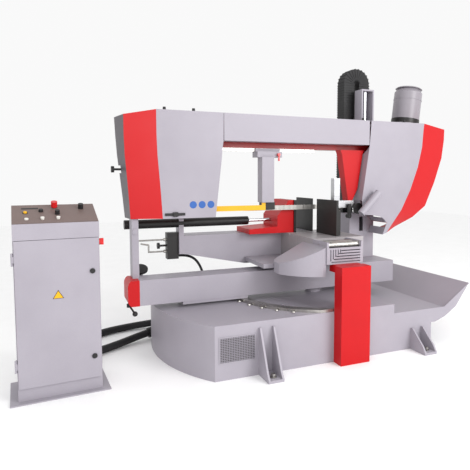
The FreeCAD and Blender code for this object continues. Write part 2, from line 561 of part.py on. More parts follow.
def tube(name, route, radius, *walls):
    """A round tube along the route, with arcs as large as its runs allow, ending on the walls."""
    edges = []
    start = route[0]
    length = 0
    for before, corner, after in zip(route, route[1:], route[2:]):
        back = (before - corner).normalize()
        onward = (after - corner).normalize()
        half_turn = (math.pi - back.getAngle(onward)) / 2
        shorter = min((before - corner).Length, (after - corner).Length)
        trim = 0.45 * shorter
        bend = trim / math.tan(half_turn)
        inward = (back + onward).normalize()
        middle = corner + inward * (bend / math.cos(half_turn) - bend)
        first, last = corner + back * trim, corner + onward * trim
        edges.append(Part.LineSegment(start, first).toShape())
        edges.append(Part.Arc(first, middle, last).toShape())
        length += (first - start).Length + bend * 2 * half_turn
        print(name, "bend radius", round(bend))
        start = last
    edges.append(Part.LineSegment(start, route[-1]).toShape())
    length += (route[-1] - start).Length
    path = Part.Wire(edges)
    ring_edge = Part.makeCircle(radius, route[0], route[1] - route[0])
    solid = path.makePipeShell([Part.Wire(ring_edge)], True, False)
    print(name, "length", round(length), "volume ratio", round(solid.Volume / (math.pi * radius ** 2 * length), 4))
    for barrier in walls:
        solid = solid.cut(barrier)
    feature = doc.addObject("Part::Feature", name)
    feature.Shape = solid
    return keep(name, feature)


lying = value("conduit_r") + 2.5
leaving = value("conduit_exit_z")
back_face = value("cab_depth")
UPPER_ROUTE = [
    cab_point(-40, back_face, leaving), Vector(-2205, -30, leaving - 12), Vector(-2180, 165, lying),
    Vector(-2090, 370, lying), Vector(-1945, 545, lying), Vector(-1755, 672, lying),
    Vector(-1545, 735, lying), Vector(-1345, 715, leaving - 20), Vector(-1215, 685, leaving - 5),
]
LOWER_ROUTE = [
    cab_point(150, back_face, leaving), Vector(-2015, -65, leaving - 15), Vector(-1965, 60, lying),
    Vector(-1870, 170, lying), Vector(-1740, 245, lying), Vector(-1610, 320, leaving - 28),
    Vector(-1490, 375, leaving - 14), Vector(-1370, 405, leaving),
]


def into_drum(route):
    """Ends the route on the drum's round wall, along its last run."""
    inner, outer = route[-1], route[-2]
    centre = Vector(value("arc_x"), value("arc_y"), 0)
    reach = value("arc_r")
    low, high = 0.0, 1.0
    for _ in range(60):
        half = (low + high) / 2
        spot = outer + (inner - outer) * half
        if math.hypot(spot.x - centre.x, spot.y - centre.y) > reach:
            low = half
        else:
            high = half
    return route[:-1] + [outer + (inner - outer) * low]


case_back = Part.makeBox(900, 400, 400, Vector(-450, value("cab_depth") - 400, 0))
case_back.Placement = Placement(Vector(value("cab_x"), value("cab_y"), 0),
                                Rotation(Vector(0, 0, 1), value("cab_turn")))
drum = Part.makeCylinder(value("arc_r") + 0.05, value("base_top"), Vector(value("arc_x"), value("arc_y"), 0))
glands = []
for label, route in (("conduit_upper", UPPER_ROUTE), ("conduit_lower", LOWER_ROUTE)):
    run = into_drum(route)
    ahead = (run[1] - run[0]).normalize()
    astern = (run[-1] - run[-2]).normalize()
    tube(label, [run[0] - ahead * 10] + run[1:-1] + [run[-1] + astern * 30], value("conduit_r"), case_back, drum)
    for start, way in ((run[0] - ahead * 12, ahead), (run[-1] + astern * 25, astern * -1)):
        ring_out = Part.makeCylinder(value("gland_r"), value("gland") + 20, start, way)
        ring_bore = Part.makeCylinder(value("conduit_r + gap"), value("gland") + 80, start - way * 20, way)
        glands.append(ring_out.cut(ring_bore))
gland_group = doc.addObject("Part::Feature", "conduit_glands")
gland_group.Shape = Part.Compound([g.cut(case_back).cut(drum) for g in glands])
keep("conduit_glands", gland_group)
VISE_HOSE = [Vector(value("bed_left - end_plate") - 3, 250, 756), Vector(-1120, 250, 757), Vector(-1040, 250, 722),
             Vector(-988, 252, 645), Vector(-962, 255, 560), Vector(-955, 258, 475),
             Vector(-950, 260, value("base_top") - 4)]
block_side = Part.makeBox(100, 200, 300, Vector(value("bed_left - end_plate") - 100, 150, 650))
deck = Part.makeBox(300, 300, 50, Vector(-1100, 150, value("base_top") - 50))
tube("vise_hose", VISE_HOSE, 11, block_side, deck)

# ---------------------------------------------------------------- swivel console
# Box beam bored to turn on the pillar, with a shoe that rides the slew ring, the foot of the
# lift column at its right end and a bracket for the turn lock's slanted spindle.

def on_dial(name, low, high, radius):
    """A disc or shaft about the slanted axis of the turn lock, between two heights along it."""
    solid = doc.addObject("Part::Cylinder", name)
    solid.Placement = Placement(Vector(), Rotation(Vector(1, 0, 0), value("dial_tilt")))
    back = "sin(dial_tilt * 1 deg)"
    return bind(solid, Radius=radius, Height=f"({high}) - ({low})", Placement__Base__x="dial_x",
                Placement__Base__y=f"dial_y - ({low}) * {back}",
                Placement__Base__z=f"dial_z + ({low}) * cos(dial_tilt * 1 deg)")



beam = block("beam_box", ("beam_left", "foot_left + 1"), ("beam_front", "beam_back"),
             ("beam_bottom", "beam_top"))
beam_hollow = block("beam_hollow", ("beam_left - 1", "-pillar_r - 40"),
                    ("beam_front + plate", "beam_back - plate"), ("beam_bottom + plate", "beam_top - plate"))
foot = block("foot_box", ("foot_left", "foot_right"), ("beam_front", "foot_back"), ("beam_bottom", "beam_top"))
foot_hollow = block("foot_hollow", ("foot_left + plate", "foot_right + 1"),
                    ("beam_front + plate", "foot_back - plate"), ("beam_bottom + plate", "beam_top - plate"))
shoe = block("shoe", ("shoe_left", "shoe_right"), ("beam_front + 4", "beam_back - 4"),
             ("shoe_bottom", "beam_bottom"))
pivot_bore = rod("pivot_bore", "z", "0", "0", ("beam_bottom - 1", "beam_top + 1"), "pillar_r + running")
lock_bracket = block("lock_bracket", ("dial_x - 22", "dial_x + 22"), ("beam_back - 1", "dial_y + 60"),
                     ("beam_bottom + 140", "beam_top - 12"))
lock_bore = on_dial("lock_bore", "-76", "0", "rod_r + running")
keep("console_beam", cut("console_beam", join("console_weld", beam, foot, shoe, lock_bracket), beam_hollow,
                         foot_hollow, pivot_bore, lock_bore))
cap_solid = profile("cap_solid", "XZ", "beam_front", "cap_back",
                             [("beam_left", "beam_bottom - 2"), ("beam_left", "beam_top"),
                              ("cap_left + cap_bulge", "beam_top"), ("cap_left", "beam_top - 45", 60),
                              ("cap_left", "beam_bottom + 40"), ("cap_left + cap_bulge", "beam_bottom - 2", 60)])
crank_seat = rod("crank_seat", "z", "crank_x", "crank_y", ("beam_bottom - 3", "beam_bottom + 30"),
                 "crank_pin + running")
keep("beam_end_cap", cut("beam_end_cap", cap_solid, crank_seat))
crank_hub = rod("crank_hub", "z", "crank_x", "crank_y", ("beam_bottom - 2 - gap - crank_hub", "beam_bottom - 2 - gap"),
                "crank_hub_r")
crank_stem = rod("crank_stem", "z", "crank_x", "crank_y", ("beam_bottom - 10", "beam_bottom + 28"), "crank_pin")
crank_ball = doc.addObject("Part::Sphere", "crank_ball")
bind(crank_ball, Radius="crank_ball_r", Placement__Base__x="crank_ball_x", Placement__Base__y="crank_ball_y",
     Placement__Base__z="crank_ball_z")
crank_root = Vector(value("crank_x"), value("crank_y"), value("beam_bottom - crank_hub / 2"))
crank_way = Vector(value("crank_ball_x"), value("crank_ball_y"), value("crank_ball_z")) - crank_root
crank_arm = doc.addObject("Part::Cylinder", "crank_arm")
crank_arm.Placement = Placement(crank_root, Rotation(Vector(0, 0, 1), crank_way))
crank_arm.Height = crank_way.Length
bind(crank_arm, Radius="crank_rod_r")
keep("clamp_crank", join("clamp_crank", crank_hub, crank_stem, crank_arm, crank_ball))

post = block("post_bar", ("post_left", "post_right"), ("post_front", "post_back"), ("beam_top", "post_top"))
post_knob = rod("post_knob", "y", "post_left + post_knob_r", ("post_front - 8", "post_front + 1"), "post_knob_z",
                "post_knob_r")
keep("guide_post", join("guide_post", post, post_knob))


keep("turn_lock_dial", join("turn_lock_dial", on_dial("dial_disc", "-dial_thick / 2", "dial_thick / 2", "dial_r"),
                            on_dial("dial_stem", "-75", "0", "rod_r")))

# ---------------------------------------------------------------- lift column
column_low = block("column_low", ("col_left", "col_right"), ("col_front", "col_back"), ("beam_top", "col_step"))
column_low_in = block("column_low_in", ("col_left + plate", "col_right - plate"),
                      ("col_front + plate", "col_back - plate"), ("beam_top - 1", "col_step - plate"))
window = block("column_window", ("col_left + 112", "col_left + 157"), ("col_front - 1", "col_front + plate + 1"),
               ("col_step - 172", "col_step - 32"))
channel = block("channel_out", ("guide_left", "guide_right"), ("guide_front", "guide_back"),
                ("col_step", "guide_top"))
channel_in = block("channel_in", ("guide_left + guide_wall", "guide_right - guide_wall"),
                   ("guide_front - 1", "guide_back - guide_wall"), ("col_step", "guide_top - guide_wall"))
keep("lift_column", cut("lift_column", join("column_weld", column_low, channel), column_low_in, window,
                        channel_in))
keep("lift_screw", rod("lift_screw", "z", "screw_x", "screw_y", ("col_step", "guide_top - guide_wall"),
                       "screw_r"))
loop_mid = "loop_left + loop_span / 2"
rising_leg = block("rising_leg", ("loop_left", "loop_left + loop_leg"), ("loop_front", "loop_back"),
                   ("beam_top", "loop_axis"))
hanging_leg = block("hanging_leg", ("loop_left + loop_span - loop_leg", "loop_left + loop_span"),
                    ("loop_front", "loop_back"), ("loop_end", "loop_axis"))
bend_out = rod("bend_out", "y", loop_mid, ("loop_front", "loop_back"), "loop_axis", "loop_span / 2")
bend_in = rod("bend_in", "y", loop_mid, ("loop_front - 1", "loop_back + 1"), "loop_axis",
              "loop_span / 2 - loop_leg")
bend_low = block("bend_low", ("loop_left", "loop_left + loop_span"), ("loop_front - 1", "loop_back + 1"),
                 ("loop_axis - loop_span", "loop_axis"))
keep("hose_loop", join("hose_loop", rising_leg, hanging_leg, cut("bend", bend_out, bend_in, bend_low)))

# ---------------------------------------------------------------- saw bow
# Red box girder with a wheel wall at each end, the carriage that climbs the lift column and the
# block that slides on the left post.
girder = cut("girder",
             block("girder_out", ("frame_left", "frame_right"), ("frame_front", "frame_back"),
                   ("frame_bottom", "frame_top")),
             block("girder_in", ("frame_left - 1", "frame_right + 1"),
                   ("frame_front + frame_wall", "frame_back - frame_wall"),
                   ("frame_bottom + frame_wall", "frame_top - frame_wall")))
idler_wall = profile("idler_wall", "XZ", "wall_front", "wall_back",
                     [("frame_left", "frame_top"), ("frame_left", "frame_bottom"), ("frame_left - 30", "1140"),
                      ("idler_x - wheel_r - 5", "1140"), ("idler_x - wheel_r - 5", "frame_top")])
drive_wall = profile("drive_wall", "XZ", "wall_front", "wall_back",
                     [("frame_right", "frame_top"), ("drive_x + wheel_r + 20", "frame_top"),
                      ("drive_x + wheel_r + 20", "wheel_z + 90"), ("drive_x + 190", "1250"),
                      ("drive_x", "1130"), ("frame_right", "1130")])
idler_axle = rod("idler_axle", "y", "idler_x", ("-hub_half - 4", "wall_front + 1"), "wheel_z", "axle_r")
idler_flange = rod("idler_flange", "y", "idler_x", ("hub_half + gap", "wall_front"), "wheel_z", "hub_r")
carriage = block("carriage", ("guide_left + guide_wall + 2", "guide_right - guide_wall - 2"),
                 ("frame_back", "guide_back - guide_wall - 2"), ("carriage_bottom", "carriage_top"))
carriage_root = block("carriage_root", ("frame_right - 1", "guide_right - guide_wall - 2"),
                      ("wall_back - 1", "frame_back + 1"), ("carriage_bottom", "carriage_top"))
screw_bore = rod("screw_bore", "z", "screw_x", "screw_y", ("carriage_bottom - 1", "carriage_top + 1"),
                 "screw_r + running")
slider_front = block("slider_front", ("post_left - 12", "idler_x - wheel_r - 3"),
                     ("post_front - 8", "wall_front"), ("guide_block_bottom", "guide_block_top"))
slider_back = block("slider_back", ("post_left - 12", "post_right + 40"), ("wall_front - 1", "post_back + 10"),
                    ("guide_block_bottom", "guide_block_top"))
slider_bore = block("slider_bore", ("post_left - gap", "post_right + gap"), ("post_front - gap", "post_back + gap"),
                    ("guide_block_bottom - 1", "guide_block_top + 1"))
tension_boss = block("tension_boss", ("idler_x - wheel_r - 3", "idler_x - wheel_r + 35"),
                     ("wall_front", "tension_y + 18"), ("tension_z - 30", "tension_z + 30"))
tension_bore = rod("tension_bore", "x", ("idler_x - wheel_r - 4", "idler_x - wheel_r + 36"), "tension_y",
                   "tension_z", "tension_r + running")


def cover_lugs(name, x):
    """A bracket behind the wheel wall that holds a cover's hinge pin between two eyes."""
    low, high = f"{x} - 16", f"{x} + eye + 16"
    arm = block(name + "_arm", (low, high), ("wall_back - 1", "bracket_back"), ("frame_top - 30", "frame_top - 12"))
    relief = rod(name + "_relief", "x", (f"{x} - gap", f"{x} + eye + gap"), "pivot_y", "pivot_z", "eye_r + 1")
    web = cut(name + "_web", block(name + "_back", (low, high), ("bracket_back - 10", "bracket_back"),
                                   ("frame_top - 30", "pivot_z")), relief)
    solids = [arm, web, rod(name + "_pin", "x", (f"{low} + 1", f"{high} - 1"), "pivot_y", "pivot_z", "eye_pin")]
    for side, edge in (("a", low), ("b", f"{x} + eye + gap")):
        solids.append(rod(f"{name}_eye_{side}", "x", (edge, f"{edge} + 16 - gap"), "pivot_y", "pivot_z", "eye_r"))
        solids.append(block(f"{name}_rib_{side}", (edge, f"{edge} + 16 - gap"), ("pivot_y", "bracket_back - 5"),
                            ("pivot_z - eye_r", "pivot_z + eye_r - 3")))
    return join(name, *solids)


lugs = [cover_lugs(f"lugs_{n}", x) for n, x in
        enumerate(("left_eye_1", "left_eye_2", "right_eye_1", "right_eye_2"), start=1)]
drive_bore = rod("drive_bore", "y", "drive_x", ("wall_front - 1", "wall_back + 1"), "wheel_z", "drive_r + 1")
keep("bow_frame", cut("bow_frame",
                      join("bow_weld", girder, idler_wall, drive_wall, idler_axle, idler_flange, carriage, carriage_root,
                           slider_front, slider_back, tension_boss, *lugs),
                      screw_bore, slider_bore, tension_bore, drive_bore))

front_panel = block("panel_sheet", ("panel_left", "panel_right"), ("cover_front", "cover_front + sheet_wall"),
                    ("panel_bottom", "cover_top"))
top_panel = block("panel_top_sheet", ("panel_left", "panel_right"), ("cover_front", "frame_back"),
                  ("cover_top - sheet_wall", "cover_top"))
low_panel = block("panel_low_sheet", ("panel_left", "panel_right"), ("cover_front", "frame_front"),
                  ("panel_bottom", "panel_bottom + sheet_wall"))
back_lip_sheet = block("panel_lip", ("panel_left", "panel_right"), ("frame_back - sheet_wall", "frame_back"),
                       ("frame_top", "cover_top"))
keep("beam_cover", join("beam_cover", front_panel, top_panel, low_panel, back_lip_sheet))
keep("guide_rail", block("guide_rail", ("rail_left", "rail_right"), ("rail_front", "rail_back"),
                         ("rail_bottom", "frame_bottom")))

# ---------------------------------------------------------------- band wheels


def wheel_disc_body(name, x, bore):
    """A cast wheel: rim, web with round windows and hub, turned about its axle."""
    rim_out = rod(name + "_rim", "y", x, ("-rim_half", "rim_half"), "wheel_z", "wheel_r")
    rim_in = rod(name + "_well", "y", x, ("-rim_half - 1", "rim_half + 1"), "wheel_z", "wheel_r - rim")
    web = rod(name + "_web", "y", x, ("-web_half", "web_half"), "wheel_z", "wheel_r - rim + 1")
    hub = rod(name + "_hub", "y", x, ("-hub_half", "hub_half"), "wheel_z", "hub_r")
    holes = []
    for i in range(5):
        angle = f"{i} * 72 deg"
        holes.append(rod(f"{name}_window_{i}", "y", f"{x} + (hub_r + wheel_r - rim) / 2 * cos({angle})",
                         ("-web_half - 1", "web_half + 1"),
                         f"wheel_z + (hub_r + wheel_r - rim) / 2 * sin({angle})", "58"))
    solid = join(name + "_cast", cut(name + "_ring", rim_out, rim_in), web, hub)
    return cut(name + "_wheel", solid, *holes, bore)


idler_bore = rod("idler_bore", "y", "idler_x", ("-hub_half - 1", "hub_half + 1"), "wheel_z",
                 "axle_r + running")
keep("idler_wheel", wheel_disc_body("idler", "idler_x", idler_bore))
drive_eye = rod("drive_eye", "y", "drive_x", ("-hub_half - 1", "-hub_half + 3"), "wheel_z", "12")
drive_shaft = rod("drive_shaft", "y", "drive_x", ("hub_half - 4", "gear_back - 60"), "wheel_z", "drive_r")
keep("drive_wheel", join("drive_wheel", wheel_disc_body("drive", "drive_x", drive_eye), drive_shaft))

gear_case = block("gear_case", ("gear_left", "gear_right"), ("wall_back", "gear_back"),
                  ("gear_bottom", "gear_top"))


def leaning(name, feature):
    """Stands a piece on the gearbox's slanted upper flange."""
    piece = group(name, feature)
    piece.Placement = Placement(Vector(), Rotation(Vector(0, 1, 0), value("motor_tilt")))
    return bind(piece, Placement__Base__x="motor_x", Placement__Base__y="motor_y",
                Placement__Base__z="gear_top")


gear_bell = leaning("gear_bell", rod("bell", "z", "0", "0", ("-60", "motor_bottom"), "bell_r"))
shaft_bore = rod("shaft_bore", "y", "drive_x", ("wall_back - 1", "gear_back - 59"), "wheel_z",
                 "drive_r + running")
gear_hollow = block("gear_hollow", ("gear_left + 15", "gear_right - 15"), ("wall_back + 25", "gear_back - 15"),
                    ("gear_bottom + 15", "gear_top - 80"))
keep("gearbox", cut("gearbox", join("gear_weld", gear_case, gear_bell), shaft_bore, gear_hollow))
motor_body = rod("motor_body", "z", "0", "0", ("motor_bottom + gap", "motor_bottom + motor_length - 40"), "motor_r")
motor_dome = doc.addObject("Part::Cone", "motor_dome")
bind(motor_dome, Radius1="motor_r", Radius2="motor_r - 32", Height="40",
     Placement__Base__z="motor_bottom + motor_length - 40")
keep("motor", leaning("motor", join("motor_solid", motor_body, motor_dome)))

knob_stem = rod("tension_stem", "x", ("tension_left + 5", "idler_x - wheel_r + 30"), "tension_y", "tension_z",
                "tension_r")
knob_grip = rod("tension_grip", "x", ("tension_left", "tension_left + 22"), "tension_y", "tension_z",
                "tension_knob_r")
keep("tension_knob", join("tension_knob", knob_stem, knob_grip))

# ---------------------------------------------------------------- saw blade
# One endless band: flat on the wheels, turned a quarter between each wheel and its guides.


def band_section(x, quarter, z):
    """The band's cross-section at x: quarter is 0 lying flat and 1 standing on edge."""
    angle = math.radians(90 * quarter)
    width = value("blade_high - blade_low") / 2
    thick = value("blade_thick") / 2
    corners = [(-width, -thick), (width, -thick), (width, thick), (-width, thick)]
    points = [Vector(x, a * math.cos(angle) - b * math.sin(angle), z + a * math.sin(angle) + b * math.cos(angle))
              for a, b in corners]
    return Part.makePolygon(points + points[:1])


def band_twist(x_flat, x_edge, z):
    """The twisted stretch as short lofts, so that its faces stay smooth."""
    steps = 6
    sections = [band_section(x_flat + (x_edge - x_flat) * i / steps, i / steps, z) for i in range(steps + 1)]
    return Part.makeLoft(sections, True, True)


band_z = value("(blade_low + blade_high) / 2")
half_width = value("blade_high - blade_low") / 2
thickness = value("blade_thick")
clearance = value("gap")
inner_r = value("wheel_z") - band_z - thickness / 2
axis_left, axis_right = value("idler_x"), value("drive_x")
crossing = value("wheel_z")
strands = []
for axis_x, side in ((axis_left, -1), (axis_right, 1)):
    full = Part.makeCylinder(inner_r + thickness, 2 * half_width, Vector(axis_x, -half_width, crossing), Vector(0, 1, 0))
    hollow = Part.makeCylinder(inner_r, 2 * half_width + 2, Vector(axis_x, -half_width - 1, crossing), Vector(0, 1, 0))
    reach = inner_r + thickness + 5
    corner = Vector(axis_x if side > 0 else axis_x - reach, -half_width - 1, crossing - reach)
    strands.append(full.cut(hollow).common(Part.makeBox(reach, 2 * half_width + 2, 2 * reach, corner)))
span = axis_right - axis_left
strands.append(Part.makeBox(span, 2 * half_width, thickness, Vector(axis_left, -half_width, crossing + inner_r)))
twist_left, twist_right = value("twist_left"), value("twist_right")
edge_left, edge_right = value("guide_in_left"), value("guide_in_right")
low_z = crossing - inner_r - thickness
strands.append(Part.makeBox(twist_left - axis_left, 2 * half_width, thickness, Vector(axis_left, -half_width, low_z)))
strands.append(Part.makeBox(axis_right - twist_right, 2 * half_width, thickness, Vector(twist_right, -half_width, low_z)))
strands.append(Part.makeBox(edge_right - edge_left, thickness, 2 * half_width,
                            Vector(edge_left, -thickness / 2, band_z - half_width)))
strands.append(band_twist(twist_left, edge_left, band_z))
strands.append(band_twist(twist_right, edge_right, band_z))
band = strands[0].multiFuse(strands[1:])
blade = doc.addObject("Part::Feature", "saw_blade")
blade.Shape = band
keep("saw_blade", blade)

# ---------------------------------------------------------------- blade guides
arm_bar = block("arm_bar", ("arm_left", "arm_right"), ("arm_front", "arm_back"), ("arm_bottom", "head_bottom + 1"))
head = block("arm_head", ("head_left", "head_right"), ("arm_front + 30", "head_back"),
             ("head_bottom", "rail_bottom - gap"))
ear_front = block("ear_front", ("head_left", "head_right"), ("rail_front - 15 - gap", "rail_front - gap"),
                  ("head_bottom", "frame_bottom - 2"))
ear_back = block("ear_back", ("head_left", "head_right"), ("rail_back + gap", "head_back"),
                 ("head_bottom", "frame_bottom - 2"))
lever_seat = rod("lever_seat", "y", "head_right - 40", ("lever_y + 30", "lever_y + 60"), "head_bottom + 24",
                 "lever_r + running")
keep("guide_arm", cut("guide_arm", join("arm_weld", arm_bar, head, ear_front, ear_back), lever_seat))
lever_boss = rod("lever_boss", "y", "head_right - 40", ("lever_y + 10", "lever_y + 37"), "head_bottom + 24",
                 "2 * lever_r")
lever_pin = rod("lever_pin", "y", "head_right - 40", ("lever_y + 36", "lever_y + 58"), "head_bottom + 24",
                "lever_r")
lever_handle = block("lever_handle", ("head_right - 40 - lever_r", "head_right - 40 + lever_r"),
                     ("lever_y + 12", "lever_y + 24"),
                     ("head_bottom + 24 - lever_length", "head_bottom + 20"))
keep("arm_clamp_lever", join("arm_clamp_lever", lever_boss, lever_pin, lever_handle))
guide_body = block("guide_body", ("arm_left + 10", "arm_right + 20"), ("-block_half", "block_half"),
                   ("block_bottom", "arm_bottom"))
guide_slot = block("guide_slot", ("arm_left + 9", "arm_right + 21"), ("-blade_thick / 2 - gap", "blade_thick / 2 + gap"),
                   ("block_bottom - 1", "blade_high + gap"))
keep("left_guide_block", cut("left_guide_block", guide_body, guide_slot))
guard_bar = block("guard_bar", ("guard_left", "arm_left + 30"), ("guard_front", "guard_front + guard_thick"),
                  ("guard_low", "guard_high"))
guard_tab = block("guard_tab", ("arm_left + 5", "arm_left + 40"), ("guard_front", "guard_front + guard_thick"),
                  ("guard_low", "arm_bottom - 0.5"))
guard_seat = block("guard_seat", ("arm_left + 10", "arm_left + 40"), ("guard_front + guard_thick - 1", "-block_half"),
                   ("guard_high - 12", "arm_bottom - 1"))
keep("blade_guard", join("blade_guard", guard_bar, guard_tab, guard_seat))

right_arm = profile("right_guide_arm", "XZ", "-block_half", "2 * block_half",
                    [("262", "frame_bottom"), ("517", "frame_bottom"), ("502", "frame_bottom - 38"),
                     ("450", "1320"), ("395", "arm_bottom"), ("350", "arm_bottom"), ("330", "1320"),
                     ("278", "frame_bottom - 38")])
keep("right_guide_arm", right_arm)
right_low = block("right_low", ("right_block_left", "right_block_right"), ("-block_half", "block_half"),
                  ("block_bottom", "arm_bottom"))
right_up = block("right_up", ("right_block_left", "right_block_left + 60"), ("-block_half", "block_half"),
                 ("arm_bottom - 1", "right_block_top"))
right_slot = block("right_slot", ("right_block_left - 1", "right_block_right + 1"),
                   ("-blade_thick / 2 - gap", "blade_thick / 2 + gap"), ("block_bottom - 1", "blade_high + gap"))
keep("right_guide_block", cut("right_guide_block", join("right_weld", right_low, right_up), right_slot))

# ---------------------------------------------------------------- hinged side covers


def view_wire(points, depth):
    """A closed outline in the plane y = depth."""
    corners = [Vector(x, depth, z) for x, z in points]
    return Part.makePolygon(corners + corners[:1])


def folded(levels):
    """A solid through outlines at increasing depths, with flat or ruled sides."""
    solids = []
    for (points_a, depth_a), (points_b, depth_b) in zip(levels, levels[1:]):
        solids.append(Part.makeLoft([view_wire(points_a, depth_a), view_wire(points_b, depth_b)], True, True))
    return solids[0].multiFuse(solids[1:]).removeSplitter()


def side_cover(name, outer, inner, cutters, eyes):
    """A folded sheet cover: its outer form less its inner form and its openings."""
    shell_solid = folded(outer).cut(folded(inner))
    for cutter in cutters:
        shell_solid = shell_solid.cut(cutter)
    sheet_form = max(shell_solid.Solids, key=lambda s: s.Volume)
    for x in eyes:
        knuckle_form = Part.makeCylinder(value("eye_r"), value("eye"), Vector(x, pivot.y, pivot.z), Vector(1, 0, 0))
        leaf = Part.makeBox(value("eye"), 60, 5, Vector(x, pivot.y - 60, top - 2))
        pin_hole = Part.makeCylinder(value("eye_pin + running"), value("eye") + 2, Vector(x - 1, pivot.y, pivot.z),
                                     Vector(1, 0, 0))
        sheet_form = sheet_form.fuse([knuckle_form, leaf]).cut(pin_hole)
    feature = doc.addObject("Part::Feature", name)
    feature.Shape = sheet_form
    return keep(name, feature)


top = value("cover_top")
front, back = value("cover_front"), value("cover_back")
fold = -50
wall = value("sheet_wall")
deep = 2 * (back - front)
pivot = Vector(0, value("pivot_y"), value("pivot_z"))


def left_outline(edge, spread, inset):
    """The left cover's front view: edge is where its outer side starts at the top, spread how
    much farther that side stands out there than at the foot."""
    steps = [(top, 0), (1750, 0), (1600, 5), (1430, 18), (1255, 30), (1108, 38)]
    side = [(edge + inset + taper + spread * (top - z) / (top - 1108), z) for z, taper in steps]
    side[0] = (side[0][0], top - inset)
    right = [(-960, 1108), (-905, 1581), (-898, 1667), (-889, 1728), (-887, top - inset)]
    return side + right


left_crest = value("cover_top") - 42


def left_level(edge, spread, crest, inset):
    """The left cover's outline at one depth, with its outer top corner at the crest."""
    points = left_outline(edge, spread, inset)
    first = (points[0][0], crest - inset)
    return [first] + points[1:] + [(-1422, top - inset)]


LEFT_OUTER = [(left_level(-1424, 0, top - 0.5, 0), front), (left_level(-1662, 0, left_crest, 0), fold),
              (left_level(-1710, 28, left_crest - 8, 0), back)]
LEFT_INNER = [(left_level(-1424, 0, top - 0.5, wall), front + wall),
              (left_level(-1662, 0, left_crest, wall), fold + wall),
              (left_level(-1714, 28, left_crest - 9, wall), back + 30)]
knob_notch = Part.makeBox(220, 80, 60, Vector(-1800, value("tension_y") - 30, value("tension_z") - 30))
left_open = Part.makeBox(1000, deep, 8, Vector(-1800, front + wall, 1101))
left_side_open = Part.makeBox(100, deep, 1000, Vector(-970, front + wall, 1090))
back_open = Part.makeBox(4000, 60, 1200, Vector(-2000, back - wall, 840))
side_cover("left_cover", LEFT_OUTER, LEFT_INNER, [left_open, left_side_open, back_open, knob_notch],
           (value("left_eye_1"), value("left_eye_2")))

# The right cover's lower left edge, from the beam cover down to its foot.
RIGHT_EDGE = [(525, 1722), (449, 1221), (462, 1086), (572, 1076), (654, 1062), (700, 1036), (732, 998),
              (687, 890)]
RIGHT_SIDE = [
    # front face, fold and back edge of the outer side, from its foot to its top
    ((730, 905), (870, 950), (900, 955)),
    ((900, 1120), (1083, 1037), (1083, 1037)),
    ((1000, 1310), (1240, 1145), (1255, 1150)),
    ((1085, 1530), (1350, 1380), (1375, 1375)),
    ((1130, 1720), (1435, 1620), (1462, 1610)),
    ((1142, 1880), (1460, 1800), (1488, 1790)),
]


def right_outline(column, crest_x, crest, inset):
    """The right cover's outline at one depth: column picks the front face, the fold or the back."""
    side = [(p[column][0] - inset, p[column][1] + 0.4 * inset) for p in RIGHT_SIDE]
    body = [(x + inset if x < 560 or x == 687 else x, z + inset if z < 1150 else z) for x, z in RIGHT_EDGE]
    return [(541 + inset, top - inset)] + body + side + [(crest_x - inset, crest - inset), (1150, top - inset)]


RIGHT_OUTER = [(right_outline(0, 1151, top - 0.5, 0), front), (right_outline(1, 1462, top - 42, 0), fold),
               (right_outline(2, 1490, top - 50, 0), back)]
RIGHT_INNER = [(right_outline(0, 1153, top - 0.5, wall), front + wall),
               (right_outline(1, 1462, top - 42, wall), fold + wall),
               (right_outline(2, 1494, top - 51, wall), back + 30)]
right_low_open = Part.makeBox(240, deep, 355, Vector(440, front + wall, 860))
right_top_open = Part.makeCylinder(345, 345, Vector(200, pivot.y, pivot.z), Vector(1, 0, 0))
right_top_open = right_top_open.common(Part.makeBox(345, deep, 740, Vector(200, front + wall, 1200)))
side_cover("right_cover", RIGHT_OUTER, RIGHT_INNER, [right_low_open, right_top_open, back_open],
           (value("right_eye_1"), value("right_eye_2")))

lamp = doc.addObject("Part::Cylinder", "lamp_tube")
lamp.Placement = Placement(Vector(), Rotation(Vector(0, 1, 0), 90 - value("lamp_tilt")))
bind(lamp, Radius="lamp_r", Height="lamp_length", Placement__Base__x="lamp_x", Placement__Base__y="lamp_y",
     Placement__Base__z="lamp_z")
lamp_foot = block("lamp_foot", ("lamp_x + 110", "lamp_x + 150"), ("lamp_y", "cover_front"),
                  ("lamp_z + 110", "lamp_z + 150"))
keep("work_lamp", join("work_lamp", lamp, lamp_foot))

# ---------------------------------------------------------------- checks and files
doc.recompute()
for item in doc.Objects:
    if "Invalid" in item.State or "Error" in item.State:
        raise RuntimeError(f"{item.Name} ({item.Label}) failed: {item.State}")
os.makedirs("parts", exist_ok=True)
for name, feature in PIECES.items():
    shape = feature.Shape
    if shape.isNull() or not shape.isValid() or shape.Volume <= 0:
        raise RuntimeError(f"{name} has no valid shape")
    print(name, len(shape.Solids), "solid(s)", round(shape.Volume / 1000), "cm3")
    shape.exportStep(f"parts/{name}.step")
print(len(PIECES), "sub-parts")
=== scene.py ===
import json
import math

import bmesh
import bpy
from mathutils import Matrix, Vector


